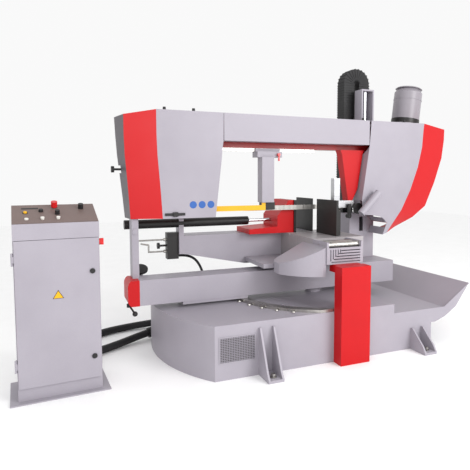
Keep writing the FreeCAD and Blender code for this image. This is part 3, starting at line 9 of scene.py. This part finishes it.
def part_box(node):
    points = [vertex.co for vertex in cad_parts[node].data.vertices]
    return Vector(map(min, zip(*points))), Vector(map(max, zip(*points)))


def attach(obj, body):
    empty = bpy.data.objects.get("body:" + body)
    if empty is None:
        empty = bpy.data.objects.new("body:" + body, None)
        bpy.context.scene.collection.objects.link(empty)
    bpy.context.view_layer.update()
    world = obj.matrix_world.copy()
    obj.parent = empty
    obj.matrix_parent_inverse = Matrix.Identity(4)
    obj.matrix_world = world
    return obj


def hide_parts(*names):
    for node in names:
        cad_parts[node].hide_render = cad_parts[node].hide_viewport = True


# A double-mitre column band saw and its control cabinet, in metres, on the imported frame.
# Pieces that the frame doesn't hold are placed in millimetres and scaled where they are made.
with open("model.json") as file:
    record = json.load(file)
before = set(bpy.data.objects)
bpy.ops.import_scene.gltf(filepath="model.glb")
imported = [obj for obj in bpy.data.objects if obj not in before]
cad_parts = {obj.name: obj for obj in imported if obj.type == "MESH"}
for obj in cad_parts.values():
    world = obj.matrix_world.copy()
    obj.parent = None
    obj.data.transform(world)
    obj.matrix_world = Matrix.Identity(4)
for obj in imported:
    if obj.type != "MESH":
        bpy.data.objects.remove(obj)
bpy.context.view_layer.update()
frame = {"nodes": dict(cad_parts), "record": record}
scene = bpy.context.scene

# ---------------------------------------------------------------- camera
# Eye-level view from the front left, with the machine in the middle of a square picture.
camera = bpy.data.objects.new("camera", bpy.data.cameras.new("camera"))
camera.location = (-2.154, -3.853, 1.432)
camera.rotation_euler = (math.radians(85.52), 0, math.radians(-23.15))
camera.data.lens = 37.15
camera.data.sensor_width = 36
camera.data.shift_x = -0.0574
camera.data.shift_y = -0.0426
scene.collection.objects.link(camera)
scene.camera = camera
scene.view_settings.view_transform = "Standard"

# ---------------------------------------------------------------- conduits and hose
# Two smooth rubber conduits lie on the floor from the cabinet's back to the drum, and a thin
# hydraulic hose drops from the vise's valve block to the deck. All are moulded black rubber.


def linear(code):
    """An sRGB hex colour as the linear RGBA that a shader socket takes."""
    parts = [int(code[i:i + 2], 16) / 255 for i in (0, 2, 4)]
    return (*(c / 12.92 if c <= 0.04045 else ((c + 0.055) / 1.055) ** 2.4 for c in parts), 1.0)


def add_node(tree, kind, links=None, **settings):
    """Adds a node, sets its properties, and fills its inputs with values or with other nodes' outputs."""
    made = tree.nodes.new(kind)
    for key, setting in settings.items():
        setattr(made, key, setting)
    for socket, source in (links or {}).items():
        if isinstance(source, bpy.types.NodeSocket):
            tree.links.new(source, made.inputs[socket])
        else:
            made.inputs[socket].default_value = source
    return made


def finish_of(name, light, dark, roughness, grain_mm, relief_mm, metallic=0.0, coat=0.0,
              drawn=(1, 1, 1), ior=1.45):
    """A material whose tone and gloss drift over its surface, with a relief of the grain's size.

    drawn stretches the grain along the axis that a metal was brushed or turned on."""
    material = bpy.data.materials.new(name)
    material.use_nodes = True
    tree = material.node_tree
    tree.nodes.clear()
    place = add_node(tree, "ShaderNodeTexCoord").outputs["Object"]
    place = add_node(tree, "ShaderNodeMapping", {"Vector": place, "Scale": drawn}).outputs["Vector"]
    drift = add_node(tree, "ShaderNodeTexNoise", {"Vector": place, "Scale": 3.5, "Detail": 5.0})
    grain = add_node(tree, "ShaderNodeTexNoise", {"Vector": place, "Scale": 1000 / grain_mm, "Detail": 3.0})
    blend = add_node(tree, "ShaderNodeMath", {0: drift.outputs["Fac"], 1: grain.outputs["Fac"]},
                     operation="MULTIPLY")
    share = add_node(tree, "ShaderNodeMapRange", {
        "Value": blend.outputs[0], "From Min": 0.12, "From Max": 0.42})
    tone = add_node(tree, "ShaderNodeMix", {0: share.outputs[0], 6: linear(dark), 7: linear(light)},
                    data_type="RGBA")
    gloss = add_node(tree, "ShaderNodeMapRange", {
        "Value": drift.outputs["Fac"], "From Min": 0.3, "From Max": 0.7,
        "To Min": roughness * 0.88, "To Max": min(1.0, roughness * 1.14)})
    relief = add_node(tree, "ShaderNodeBump", {
        "Height": grain.outputs["Fac"], "Strength": 0.35, "Distance": relief_mm / 1000})
    shader = add_node(tree, "ShaderNodeBsdfPrincipled", {
        "Base Color": tone.outputs[2], "Roughness": gloss.outputs[0], "Normal": relief.outputs[0],
        "Metallic": metallic, "Coat Weight": coat, "Coat Roughness": 0.12,
        "IOR": 1.5 if metallic else ior})
    add_node(tree, "ShaderNodeOutputMaterial", {"Surface": shader.outputs[0]})
    return material


# Moulded rubber: nearly black and dull, with a soft sheen where it curves.
rubber = finish_of("moulded_rubber", "1E1D1F", "121113", 0.55, 6, 0.5)
ROUTES = {
    # the radius and the route points, in mm, the same as the frame's sleeves
    "conduit_upper": (31, [(-2206.3, -201.8, 70), (-2205, -30, 58), (-2180, 165, 33.5), (-2090, 370, 33.5),
                           (-1945, 545, 33.5), (-1755, 672, 33.5), (-1545, 735, 33.5), (-1345, 715, 50),
                           (-1215, 685, 65)]),
    "conduit_lower": (31, [(-2016.7, -189.9, 70), (-2015, -65, 55), (-1965, 60, 33.5), (-1870, 170, 33.5),
                           (-1740, 245, 33.5), (-1610, 320, 42), (-1490, 375, 56), (-1370, 405, 70)]),
    "vise_hose": (11, [(-1196, 250, 756), (-1120, 250, 757), (-1040, 250, 722), (-988, 252, 645),
                       (-962, 255, 560), (-955, 258, 475), (-950, 260, 393)]),
}
DRUM_CENTRE, DRUM_RADIUS = Vector((-238, 73)), 1205
for name, (radius, route) in ROUTES.items():
    points = [Vector(p) for p in route]
    if name != "vise_hose":
        # the last run stops where it meets the drum's round wall
        run = points[-1] - points[-2]
        start = points[-2].xy - DRUM_CENTRE
        a, b, c = run.xy.length_squared, 2 * start.dot(run.xy), start.length_squared - DRUM_RADIUS ** 2
        points[-1] = points[-2] + run * ((-b - math.sqrt(b * b - 4 * a * c)) / (2 * a))
    curve = bpy.data.curves.new(name + "_sleeve", "CURVE")
    curve.dimensions = "3D"
    curve.bevel_depth = radius / 1000
    curve.bevel_resolution = 6
    curve.use_fill_caps = True
    line = curve.splines.new("NURBS")
    line.points.add(len(points) - 1)
    for spot, point in zip(line.points, points):
        spot.co = (*(point / 1000), 1)
    line.order_u = 3
    line.use_endpoint_u = True
    line.resolution_u = 16
    sleeve = bpy.data.objects.new(name + "_sleeve", curve)
    scene.collection.objects.link(sleeve)
    curve.materials.append(rubber)
    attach(sleeve, "base")
    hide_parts(name)

# ---------------------------------------------------------------- painted housings
# The base drum, pedestal, beam, column, covers and cabinet are steel plate, welded and powder
# coated in one lilac grey, with a few parts in signal red.
# Powder coat: satin, with a faint orange peel that softens its highlights.
powder_coat = finish_of("powder_coat_grey", "A29DA6", "98939C", 0.42, 2.2, 0.05, ior=1.38)
# The same coat in red: strong and even, a little glossier than the grey.
red_coat = finish_of("powder_coat_red", "BE0B12", "B20910", 0.40, 2.2, 0.04, ior=1.33)
# The bow's frame sits in shade: a deeper red, which is painted shade.
shade_darkened_red = finish_of("red_paint_shade_darkened", "A00E13", "7E0A0E", 0.38, 3, 0.06)
# Bare planed cast iron: grey and half-glossy, with fine lines along the planer's stroke.
planed_iron = finish_of("planed_cast_iron", "A9A4A6", "989395", 0.42, 1.6, 0.05, metallic=0.2,
                        drawn=(1, 14, 1))
# Turned cast iron of the band wheels: darker and duller than the table.
turned_iron = finish_of("turned_cast_iron", "7E7D80", "626164", 0.45, 2, 0.06, metallic=0.6)
# Ground steel with an oil film, on slides, rollers and the ring.
ground_steel = finish_of("ground_steel", "B9B6B2", "9A9793", 0.30, 1.4, 0.03, metallic=0.9, drawn=(10, 1, 1))
# Blackened steel: dark and smooth, with a slight brown where it is handled.
black_oxide = finish_of("blackened_steel", "2C2A2A", "1C1B1B", 0.42, 2, 0.05, metallic=0.35)
# Hard chrome: bright and mirror-like, barely marked.
hard_chrome = finish_of("hard_chrome", "D6D7DA", "C4C5C9", 0.12, 4, 0.01, metallic=1.0)
# Milled aluminium: pale, with fine cutter lines.
milled_alloy = finish_of("milled_aluminium", "C9C9CB", "B1B1B4", 0.33, 1.5, 0.04, metallic=0.85,
                         drawn=(1, 1, 12))
# Machine enamel on the motor: even, warm grey.
motor_enamel = finish_of("motor_enamel", "98939A", "8C878E", 0.40, 2.5, 0.05)
# Guard enamel: clear yellow, semi-gloss.
yellow_enamel = finish_of("guard_enamel_yellow", "E6B00C", "D9A208", 0.38, 2.5, 0.04)
# The sloped panel's film: matt brown grey, lightly textured.
panel_film = finish_of("panel_film_brown", "7B6A66", "6B5B57", 0.55, 1.8, 0.06)
# Moulded plastics: black is matt, red and pale are shiny.
black_plastic = finish_of("moulded_black_plastic", "232223", "171617", 0.48, 1.8, 0.05)
red_plastic = finish_of("moulded_red_plastic", "D7191C", "C21316", 0.28, 3, 0.02, coat=0.3)
pale_plastic = finish_of("moulded_pale_plastic", "E4E2DC", "D8D6D0", 0.30, 3, 0.02, coat=0.3)
FINISHES = {
    "light_paint": powder_coat, "signal_red": red_coat, "dark_red": shade_darkened_red, "cast_table": planed_iron,
    "wheel_iron": turned_iron, "machined_steel": ground_steel, "black_steel": black_oxide,
    "chrome": hard_chrome, "guide_alloy": milled_alloy, "motor_alloy": motor_enamel,
    "yellow_paint": yellow_enamel, "panel_paint": panel_film, "black_plastic": black_plastic,
    "red_plastic": red_plastic, "white_plastic": pale_plastic, "black_rubber": rubber,
}
for part in frame["record"]["subparts"]:
    cad_object = frame["nodes"][part["node"]]
    cad_object.data.materials.clear()
    cad_object.data.materials.append(FINISHES[part["material_slot"]])

# ---------------------------------------------------------------- two-tone side covers
# Each folded sheet cover is grey in front and on top and red on the slanted outer side. The left one's end,
# which faces away from the light, is painted dark grey as painted shade.


def zoned(name, base, other, limits, third=None, third_from=0.0):
    """A copy of the base coat that turns to another colour inside limits on Object coordinates.

    limits is a list of (axis, operation, metres); past third_from on y a third colour takes over."""
    material = base.copy()
    material.name = name
    tree = material.node_tree
    shader = next(n for n in tree.nodes if n.type == "BSDF_PRINCIPLED")
    plain = shader.inputs["Base Color"].links[0].from_socket
    place = add_node(tree, "ShaderNodeTexCoord").outputs["Object"]
    axes = add_node(tree, "ShaderNodeSeparateXYZ", {0: place})
    inside = None
    for axis, operation, limit in limits:
        test = add_node(tree, "ShaderNodeMath", {0: axes.outputs[axis], 1: limit}, operation=operation)
        if inside is None:
            inside = test.outputs[0]
        else:
            both = add_node(tree, "ShaderNodeMath", {0: inside, 1: test.outputs[0]}, operation="MULTIPLY")
            inside = both.outputs[0]
    colour = linear(other)
    if third:
        far = add_node(tree, "ShaderNodeMath", {0: axes.outputs[1], 1: third_from}, operation="GREATER_THAN")
        pick = add_node(tree, "ShaderNodeMix", {0: far.outputs[0], 6: colour, 7: linear(third)},
                        data_type="RGBA")
        colour = pick.outputs[2]
    mixed = add_node(tree, "ShaderNodeMix", {0: inside, 6: plain, 7: colour}, data_type="RGBA")
    tree.links.new(mixed.outputs[2], shader.inputs["Base Color"])
    return material


# the dark grey 5A565B that takes over at the left cover's end is painted shade
left_coat = zoned("left_cover_coat", powder_coat, "BC0B12",
                  [(0, "LESS_THAN", -1.3858), (1, "GREATER_THAN", -0.1094), (2, "LESS_THAN", 1.9462)],
                  third="5A565B", third_from=-0.0495)
frame["nodes"]["left_cover"].data.materials[0] = left_coat
right_coat = zoned("right_cover_coat", powder_coat, "BC0B12",
                   [(0, "GREATER_THAN", 0.728), (1, "GREATER_THAN", -0.1094), (2, "LESS_THAN", 1.9462)])
frame["nodes"]["right_cover"].data.materials[0] = right_coat

# Rubber latches hold the covers shut, and small round signs are stuck beside them.


def add_box(mesh, low, high):
    """A box between two corners, in millimetres."""
    low, high = Vector(low) / 1000, Vector(high) / 1000
    matrix = Matrix.Translation((low + high) / 2) @ Matrix.Diagonal((*(high - low), 1))
    bmesh.ops.create_cube(mesh, size=1, matrix=matrix)


def add_rod(mesh, start, end, radius, end_radius=None, sides=32):
    """A closed cylinder or cone between two points, in millimetres."""
    start, end = Vector(start) / 1000, Vector(end) / 1000
    way = end - start
    matrix = Matrix.Translation((start + end) / 2) @ way.to_track_quat("Z", "Y").to_matrix().to_4x4()
    bmesh.ops.create_cone(mesh, cap_ends=True, segments=sides, radius1=radius / 1000,
                          radius2=(radius if end_radius is None else end_radius) / 1000,
                          depth=way.length, matrix=matrix)


def piece(name, body, slot, material, build, *arguments, edge_mm=0.8):
    """A mesh object made by build(mesh, *arguments), with small worn edges, riding on a body."""
    data = bpy.data.meshes.new(name)
    mesh = bmesh.new()
    build(mesh, *arguments)
    mesh.to_mesh(data)
    mesh.free()
    made = bpy.data.objects.new(name, data)
    scene.collection.objects.link(made)
    data.materials.append(material)
    if edge_mm:
        worn = made.modifiers.new("edges", "BEVEL")
        worn.width = edge_mm / 1000
        worn.segments = 2
    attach(made, body)
    return made


def left_latch(mesh):
    add_box(mesh, (-1371, -122, 1130), (-1213, -109.5, 1150))
    add_box(mesh, (-1310, -130, 1122), (-1270, -109.5, 1158))


def round_signs(mesh):
    for x in (-1146, -1073, -1000):
        add_rod(mesh, (x, -109.5, 1212), (x, -110.8, 1212), 29)


piece("left_latch", "left_door", "black_plastic", black_plastic, left_latch, edge_mm=2)
# Printed film on the signs: flat mid blue without symbols.
blue_film = finish_of("printed_film_blue", "2D5FA8", "28559A", 0.35, 4, 0.02)
piece("round_signs", "left_door", "light_paint", blue_film, round_signs, edge_mm=0)

# Each cover's hinge eyes are capped by dark nylon knobs that stand on its top edge.


def hinge_knobs(mesh, places):
    for x in places:
        add_rod(mesh, (x + 20, 100, 1946.5), (x + 20, 100, 1996), 15, 12)


piece("left_hinge_knobs", "left_door", "black_plastic", black_plastic, hinge_knobs, (-1340, -1098))
piece("right_hinge_knobs", "right_door", "black_plastic", black_plastic, hinge_knobs, (572, 1060))

# ---------------------------------------------------------------- base details
# The drum has a punched vent grille on its flat front, round caps over the deck's fixing
# screws, and hexagonal anchor bolts through the four foot plates.


def repeat_tree(name, shape):
    """A node tree that sets one solid on each vertex, turned to the vertex's 'way' attribute."""
    tree = bpy.data.node_groups.new(name, "GeometryNodeTree")
    tree.interface.new_socket("Geometry", in_out="INPUT", socket_type="NodeSocketGeometry")
    for label in ("Width", "Depth", "Height"):
        tree.interface.new_socket(label, in_out="INPUT", socket_type="NodeSocketFloat")
    tree.interface.new_socket("Sides", in_out="INPUT", socket_type="NodeSocketInt")
    tree.interface.new_socket("Finish", in_out="INPUT", socket_type="NodeSocketMaterial")
    tree.interface.new_socket("Geometry", in_out="OUTPUT", socket_type="NodeSocketGeometry")
    given = add_node(tree, "NodeGroupInput").outputs
    if shape == "bar":
        size = add_node(tree, "ShaderNodeCombineXYZ", {
            0: given["Width"], 1: given["Depth"], 2: given["Height"]})
        solid = add_node(tree, "GeometryNodeMeshCube", {"Size": size.outputs[0]})
    else:
        solid = add_node(tree, "GeometryNodeMeshCone", {
            "Vertices": given["Sides"], "Radius Top": given["Depth"], "Radius Bottom": given["Width"],
            "Depth": given["Height"]})
    way = add_node(tree, "GeometryNodeInputNamedAttribute", {"Name": "way"}, data_type="FLOAT_VECTOR")
    turn = add_node(tree, "FunctionNodeAlignRotationToVector", {"Vector": way.outputs[0]}, axis="Z")
    placed = add_node(tree, "GeometryNodeInstanceOnPoints", {
        "Points": given["Geometry"], "Instance": solid.outputs["Mesh"], "Rotation": turn.outputs[0]})
    real = add_node(tree, "GeometryNodeRealizeInstances", {0: placed.outputs[0]})
    coated = add_node(tree, "GeometryNodeSetMaterial", {
        "Geometry": real.outputs[0], "Material": given["Finish"]})
    add_node(tree, "NodeGroupOutput", {0: coated.outputs[0]})
    return tree


cap_tree = repeat_tree("set_caps", "cap")
bar_tree = repeat_tree("set_bars", "bar")


def repeated(name, body, material, tree, places, size_mm, sides=20):
    """Runs the tree over (point, way) pairs in millimetres and keeps the result as a plain mesh."""
    seeds = bpy.data.meshes.new(name + "_seeds")
    seeds.from_pydata([Vector(p) / 1000 for p, _ in places], [], [])
    ways = seeds.attributes.new("way", "FLOAT_VECTOR", "POINT")
    for spot, (_, way) in zip(ways.data, places):
        spot.vector = way
    seed_object = bpy.data.objects.new(name + "_seeds", seeds)
    scene.collection.objects.link(seed_object)
    setting = seed_object.modifiers.new("set", "NODES")
    setting.node_group = tree
    width, depth, height = (s / 1000 for s in size_mm)
    values = {"Width": width, "Depth": depth, "Height": height, "Sides": sides, "Finish": material}
    for item in tree.interface.items_tree:
        if item.in_out == "INPUT" and item.name in values:
            setting[item.identifier] = values[item.name]
    shown = seed_object.evaluated_get(bpy.context.evaluated_depsgraph_get())
    data = bpy.data.meshes.new_from_object(shown)
    data.name = name
    bpy.data.objects.remove(seed_object)
    made = bpy.data.objects.new(name, data)
    scene.collection.objects.link(made)
    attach(made, body)
    return made


GRILLE = (-1125, -862, 130, 305)
grille_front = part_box("base_housing")[0].y * 1000


# The black sheet behind the bars is painted shade for the vent's openings.
def grille_shade_sheet(mesh):
    add_box(mesh, (GRILLE[0], grille_front - 1, GRILLE[2]), (GRILLE[1], grille_front + 1, GRILLE[3]))


def grille_rim(mesh):
    left, right, low, high = GRILLE
    for corner, far in (((left - 8, low - 8), (right + 8, low)), ((left - 8, high), (right + 8, high + 8)),
                        ((left - 8, low), (left, high)), ((right, low), (right + 8, high))):
        add_box(mesh, (corner[0], grille_front - 5, corner[1]), (far[0], grille_front + 1, far[1]))


# the black sheet is painted shade behind the grille's bars
piece("grille_shade_sheet", "base", "black_steel", black_oxide, grille_shade_sheet, edge_mm=0)
piece("grille_rim", "base", "light_paint", powder_coat, grille_rim, edge_mm=0.6)
GRILLE_PITCH, BAR = 12.5, 3.6
upright = [((GRILLE[0] + GRILLE_PITCH * (i + 0.5), grille_front - 2, (GRILLE[2] + GRILLE[3]) / 2), (0, 0, 1))
           for i in range(int((GRILLE[1] - GRILLE[0]) / GRILLE_PITCH))]
level = [(((GRILLE[0] + GRILLE[1]) / 2, grille_front - 2, GRILLE[2] + GRILLE_PITCH * (i + 0.5)), (0, 0, 1))
         for i in range(int((GRILLE[3] - GRILLE[2]) / GRILLE_PITCH))]
repeated("grille_uprights", "base", powder_coat, bar_tree, upright,
         (BAR, 3, GRILLE[3] - GRILLE[2]))
repeated("grille_levels", "base", powder_coat, bar_tree, level,
         (GRILLE[1] - GRILLE[0], 3, BAR))

# Deck caps: low turned steel buttons on the rim round the swivel ring.
CAP_CIRCLE, CAP_PITCH = 782, 10
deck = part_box("base_housing")[1].z * 1000
caps = []
for step in range(16):
    angle = math.radians(100 + CAP_PITCH * step)
    spot = (CAP_CIRCLE * math.cos(angle), CAP_CIRCLE * math.sin(angle), deck + 4)
    if spot[1] > grille_front + 30 and math.hypot(spot[0] + 238, spot[1] - 73) < DRUM_RADIUS - 30:
        caps.append((spot, (0, 0, 1)))
repeated("deck_caps", "base", ground_steel, cap_tree, caps, (15, 12, 8), sides=24)

# Anchor bolts: hexagon heads on washers, one in each foot plate.
foot_low, foot_high = (v * 1000 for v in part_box("foot_brackets"))
FOOT_PLATE, BOLT_OUT = 20, 60
bolts = [((x, y, FOOT_PLATE + 9), (0, 0, 1))
         for x in (-771, 602) for y in (foot_low.y + BOLT_OUT, foot_high.y - BOLT_OUT)]
repeated("anchor_bolts", "base", ground_steel, cap_tree, bolts, (19, 18, 18), sides=6)
washers = [((x, y, FOOT_PLATE + 2), way) for (x, y, _), way in bolts]
repeated("anchor_washers", "base", ground_steel, cap_tree, washers, (26, 26, 4), sides=32)

# ---------------------------------------------------------------- hydraulic fittings
# Steel pipes with union nuts join the vise's valve block to the cylinder's far end, and a dark
# hand wheel for the pressure stands out of the block's left side.
PIPE_R, NUT_R = 7, 14
block_low, block_high = (v * 1000 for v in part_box("valve_block"))
cylinder_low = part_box("vise_cylinder")[0] * 1000
pipe_y = (block_low.y + block_high.y) / 2


def bent_pipe(mesh, points):
    for start, end in zip(points, points[1:]):
        add_rod(mesh, start, end, PIPE_R, sides=20)
        bmesh.ops.create_uvsphere(mesh, u_segments=20, v_segments=12, radius=PIPE_R / 1000,
                                  matrix=Matrix.Translation(Vector(end) / 1000))


def unions(mesh):
    add_rod(mesh, (block_low.x - 24, pipe_y, 900), (block_low.x + 0.5, pipe_y, 900), NUT_R, sides=6)
    add_rod(mesh, (block_low.x - 24, pipe_y, 800), (block_low.x + 0.5, pipe_y, 800), NUT_R, sides=6)
    add_rod(mesh, (-1560, pipe_y, cylinder_low.z - 22), (-1560, pipe_y, cylinder_low.z + 6), NUT_R, sides=6)


def pressure_wheel(mesh):
    add_rod(mesh, (block_low.x - 60, pipe_y, 850), (block_low.x + 0.5, pipe_y, 850), 9)
    add_rod(mesh, (block_low.x - 78, pipe_y, 850), (block_low.x - 58, pipe_y, 850), 26, sides=40)


piece("upper_pipe", "base", "machined_steel", ground_steel, bent_pipe,
      [(block_low.x - 10, pipe_y, 900), (-1560, pipe_y, 900), (-1560, pipe_y, cylinder_low.z - 5)], edge_mm=0)
piece("lower_pipe", "base", "machined_steel", ground_steel, bent_pipe,
      [(block_low.x - 10, pipe_y, 800), (-1440, pipe_y, 800), (-1440, pipe_y, 860), (-1500, pipe_y, 872)],
      edge_mm=0)
piece("pipe_unions", "base", "machined_steel", ground_steel, unions, edge_mm=0.5)
piece("pressure_wheel", "base", "black_plastic", black_plastic, pressure_wheel)

# ---------------------------------------------------------------- control cabinet details
# The sloped panel carries moulded pilot lamps, a spare selector and a display strip beside the
# controls that move, and the door has a plain yellow triangle without any symbol.
CABINET_TURN = math.radians(3.6)
SLOPE = math.radians(20.32)


def on_cabinet(x, y, z):
    """A point given in the cabinet's own frame, in millimetres."""
    return Vector((-2157 + x * math.cos(CABINET_TURN) - y * math.sin(CABINET_TURN),
                   -349 + x * math.sin(CABINET_TURN) + y * math.cos(CABINET_TURN), z))


def on_panel(x, up, out):
    """A point on the sloped panel, out millimetres above it."""
    height = 1140 + (up + 150) * math.tan(SLOPE) + out * math.cos(SLOPE)
    return on_cabinet(x, up - out * math.sin(SLOPE), height)


def panel_knob(mesh, x, up, radius, high, top_radius=None):
    add_rod(mesh, on_panel(x, up, 1), on_panel(x, up, high), radius, top_radius)


def display_strip(mesh):
    corners = []
    for out in (1, 4):
        corners += [on_panel(x, up, out) / 1000 for x, up in ((-200, 54), (-97, 54), (-97, 74), (-200, 74))]
    made = [mesh.verts.new(c) for c in corners]
    for face in ((3, 2, 1, 0), (4, 5, 6, 7), (0, 1, 5, 4), (1, 2, 6, 5), (2, 3, 7, 6), (3, 0, 4, 7)):
        mesh.faces.new([made[i] for i in face])


def triangle(mesh, half, out):
    outline = [(-half, -0.55 * half), (half, -0.55 * half), (0, 1.1 * half)]
    levels = [[mesh.verts.new(on_cabinet(-5 + x, -168.2 - depth, 671 + z) / 1000) for x, z in outline]
              for depth in (0, out)]
    mesh.faces.new(levels[0][::-1])
    mesh.faces.new(levels[1])
    for i in range(3):
        j = (i + 1) % 3
        mesh.faces.new([levels[0][i], levels[0][j], levels[1][j], levels[1][i]])


piece("pilot_lamp", "base", "yellow_paint", yellow_enamel, panel_knob, -177, 0, 13, 14, 10)
piece("pilot_bezel", "base", "black_plastic", black_plastic, panel_knob, -177, 0, 17, 5)
piece("spare_selector", "base", "black_plastic", black_plastic, panel_knob, -83, 16, 15, 20, 13)
piece("third_button", "base", "white_plastic", pale_plastic, panel_knob, -172, -93, 13, 10, 12)
piece("stop_plate", "base", "yellow_paint", yellow_enamel, panel_knob, 2, 72, 27, 2.4, 27, edge_mm=0)
piece("display_strip", "base", "black_plastic", black_plastic, display_strip, edge_mm=0.5)
piece("door_triangle_edge", "door", "black_plastic", black_plastic, triangle, 34, 0.6, edge_mm=0)
piece("door_triangle", "door", "yellow_paint", yellow_enamel, triangle, 28, 1.2, edge_mm=0)

# ---------------------------------------------------------------- hose carrier links
# The looped carrier behind the column is a chain of moulded plastic links; each link shows as a
# rib round the loop, at a pitch of 24 mm.
loop_low, loop_high = (v * 1000 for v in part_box("hose_loop"))
LEG, PITCH, ARC_Z, SHORT_END = 115, 24, 2360, 1960
loop_centre = (loop_low.x + loop_high.x) / 2
loop_radius = (loop_high.x - loop_low.x - LEG) / 2
loop_middle = (loop_low.y + loop_high.y) / 2
links = []
for i in range(int((ARC_Z - loop_low.z - 20) / PITCH)):
    links.append(((loop_centre - loop_radius, loop_middle, ARC_Z - PITCH * (i + 0.5)), (0, 0, 1)))
for i in range(int((ARC_Z - SHORT_END - 10) / PITCH)):
    links.append(((loop_centre + loop_radius, loop_middle, ARC_Z - PITCH * (i + 0.5)), (0, 0, 1)))
for i in range(12):
    angle = math.pi * (i + 0.5) / 12
    place = (loop_centre + loop_radius * math.cos(angle), loop_middle, ARC_Z + loop_radius * math.sin(angle))
    links.append((place, (-math.sin(angle), 0, math.cos(angle))))
repeated("carrier_links", "console", rubber, bar_tree, links,
         (LEG + 8, loop_high.y - loop_low.y + 8, 13))

# ---------------------------------------------------------------- motor details
# A cast flange ring and a pressed fan cowl finish the leaning motor; the cowl's crown has a round grille,
# whose holes are dark discs painted as shade.
MOTOR_FOOT, LEAN, MOTOR_R = Vector((1198, 285, 1640)), math.radians(7), 140


def along_motor(distance, side=0.0, deep=0.0):
    """A point on the motor's leaning axis, in millimetres from its foot."""
    return MOTOR_FOOT + Vector((distance * math.sin(LEAN) + side * math.cos(LEAN), deep,
                                distance * math.cos(LEAN) - side * math.sin(LEAN)))


def motor_ring(mesh, low, high, radius, top_radius=None):
    add_rod(mesh, along_motor(low), along_motor(high), radius, top_radius, sides=64)


def terminal_box(mesh):
    add_rod(mesh, along_motor(470, 0, -MOTOR_R - 30), along_motor(470, 0, -MOTOR_R + 20), 46, 52, sides=4)


piece("motor_flange", "saw_bow", "black_steel", black_oxide, motor_ring, 345, 392, MOTOR_R + 2.5)
piece("cowl_seam", "saw_bow", "motor_alloy", motor_enamel, motor_ring, 588, 596, MOTOR_R + 3)
piece("cowl_crown", "saw_bow", "motor_alloy", motor_enamel, motor_ring, 705, 718, MOTOR_R - 4, MOTOR_R - 22)
# the grille's holes are dark discs: painted shade for the openings
fan_hole_shade_discs = []
for ring in range(1, 5):
    for i in range(6 * ring):
        angle = math.tau * i / (6 * ring)
        fan_hole_shade_discs.append((along_motor(718.4, 24 * ring * math.cos(angle), 24 * ring * math.sin(angle)),
                          (math.sin(LEAN), 0, math.cos(LEAN))))
repeated("fan_hole_shade_discs", "saw_bow", black_oxide, cap_tree, fan_hole_shade_discs, (6, 6, 1.6), sides=10)

# ---------------------------------------------------------------- blade guides' fittings
# A chip brush and a quarter-round dark disc sit beside the fixed guide, where the band leaves the work; the
# disc is painted shade for the inside of the wheel housing's cutout.


def brush(mesh):
    add_box(mesh, (334, -62, 1060), (366, -42, 1185))
    add_rod(mesh, (350, -60, 1072), (350, -20, 1072), 22)


# the dark disc is painted shade for the inside of the wheel housing's cutout
def cutout_shade_disc(mesh):
    add_rod(mesh, (440, -66, 1140), (440, -54, 1140), 52)


piece("chip_brush", "saw_bow", "black_steel", black_oxide, brush, edge_mm=2)
piece("cutout_shade_disc", "saw_bow", "black_steel", black_oxide, cutout_shade_disc, edge_mm=2)

# ---------------------------------------------------------------- column fittings
# A cast black pulley cover stands behind the lift column, fixed to its back plate.


def pulley_cover(mesh):
    add_rod(mesh, (770, 318, 800), (770, 344, 800), 87, 80, sides=48)


piece("pulley_cover", "console", "black_steel", black_oxide, pulley_cover, edge_mm=2)

# ---------------------------------------------------------------- floor and studio light
# A plain pale floor and world with large soft lights, as in a white studio.
floor_mesh = bpy.data.meshes.new("floor")
floor_mesh.from_pydata([(-12, -12, 0), (12, -12, 0), (12, 12, 0), (-12, 12, 0)], [], [(0, 1, 2, 3)])
floor = bpy.data.objects.new("floor", floor_mesh)
scene.collection.objects.link(floor)
floor_mesh.materials.append(finish_of("studio_floor", "FDFDFD", "F8F8F8", 0.7, 8, 0.02))
world = bpy.data.worlds.new("studio")
world.use_nodes = True
background = next(n for n in world.node_tree.nodes if n.type == "BACKGROUND")
background.inputs["Color"].default_value = (1, 1, 1, 1)
background.inputs["Strength"].default_value = 0.95
scene.world = world
LIGHTS = {
    # name: place, aim, size in metres, watts
    "key": ((2.2, -5.2, 3.0), (0, 0, 1.0), 2.6, 210),
    "fill": ((-2.6, -4.6, 2.4), (-0.8, 0, 0.9), 2.6, 60),
}
for name, (place, aim, size, power) in LIGHTS.items():
    lamp = bpy.data.lights.new(name, "AREA")
    lamp.size = size
    lamp.energy = power
    lamp_object = bpy.data.objects.new(name, lamp)
    lamp_object.location = place
    lamp_object.rotation_euler = (Vector(aim) - Vector(place)).to_track_quat("-Z", "Y").to_euler()
    scene.collection.objects.link(lamp_object)
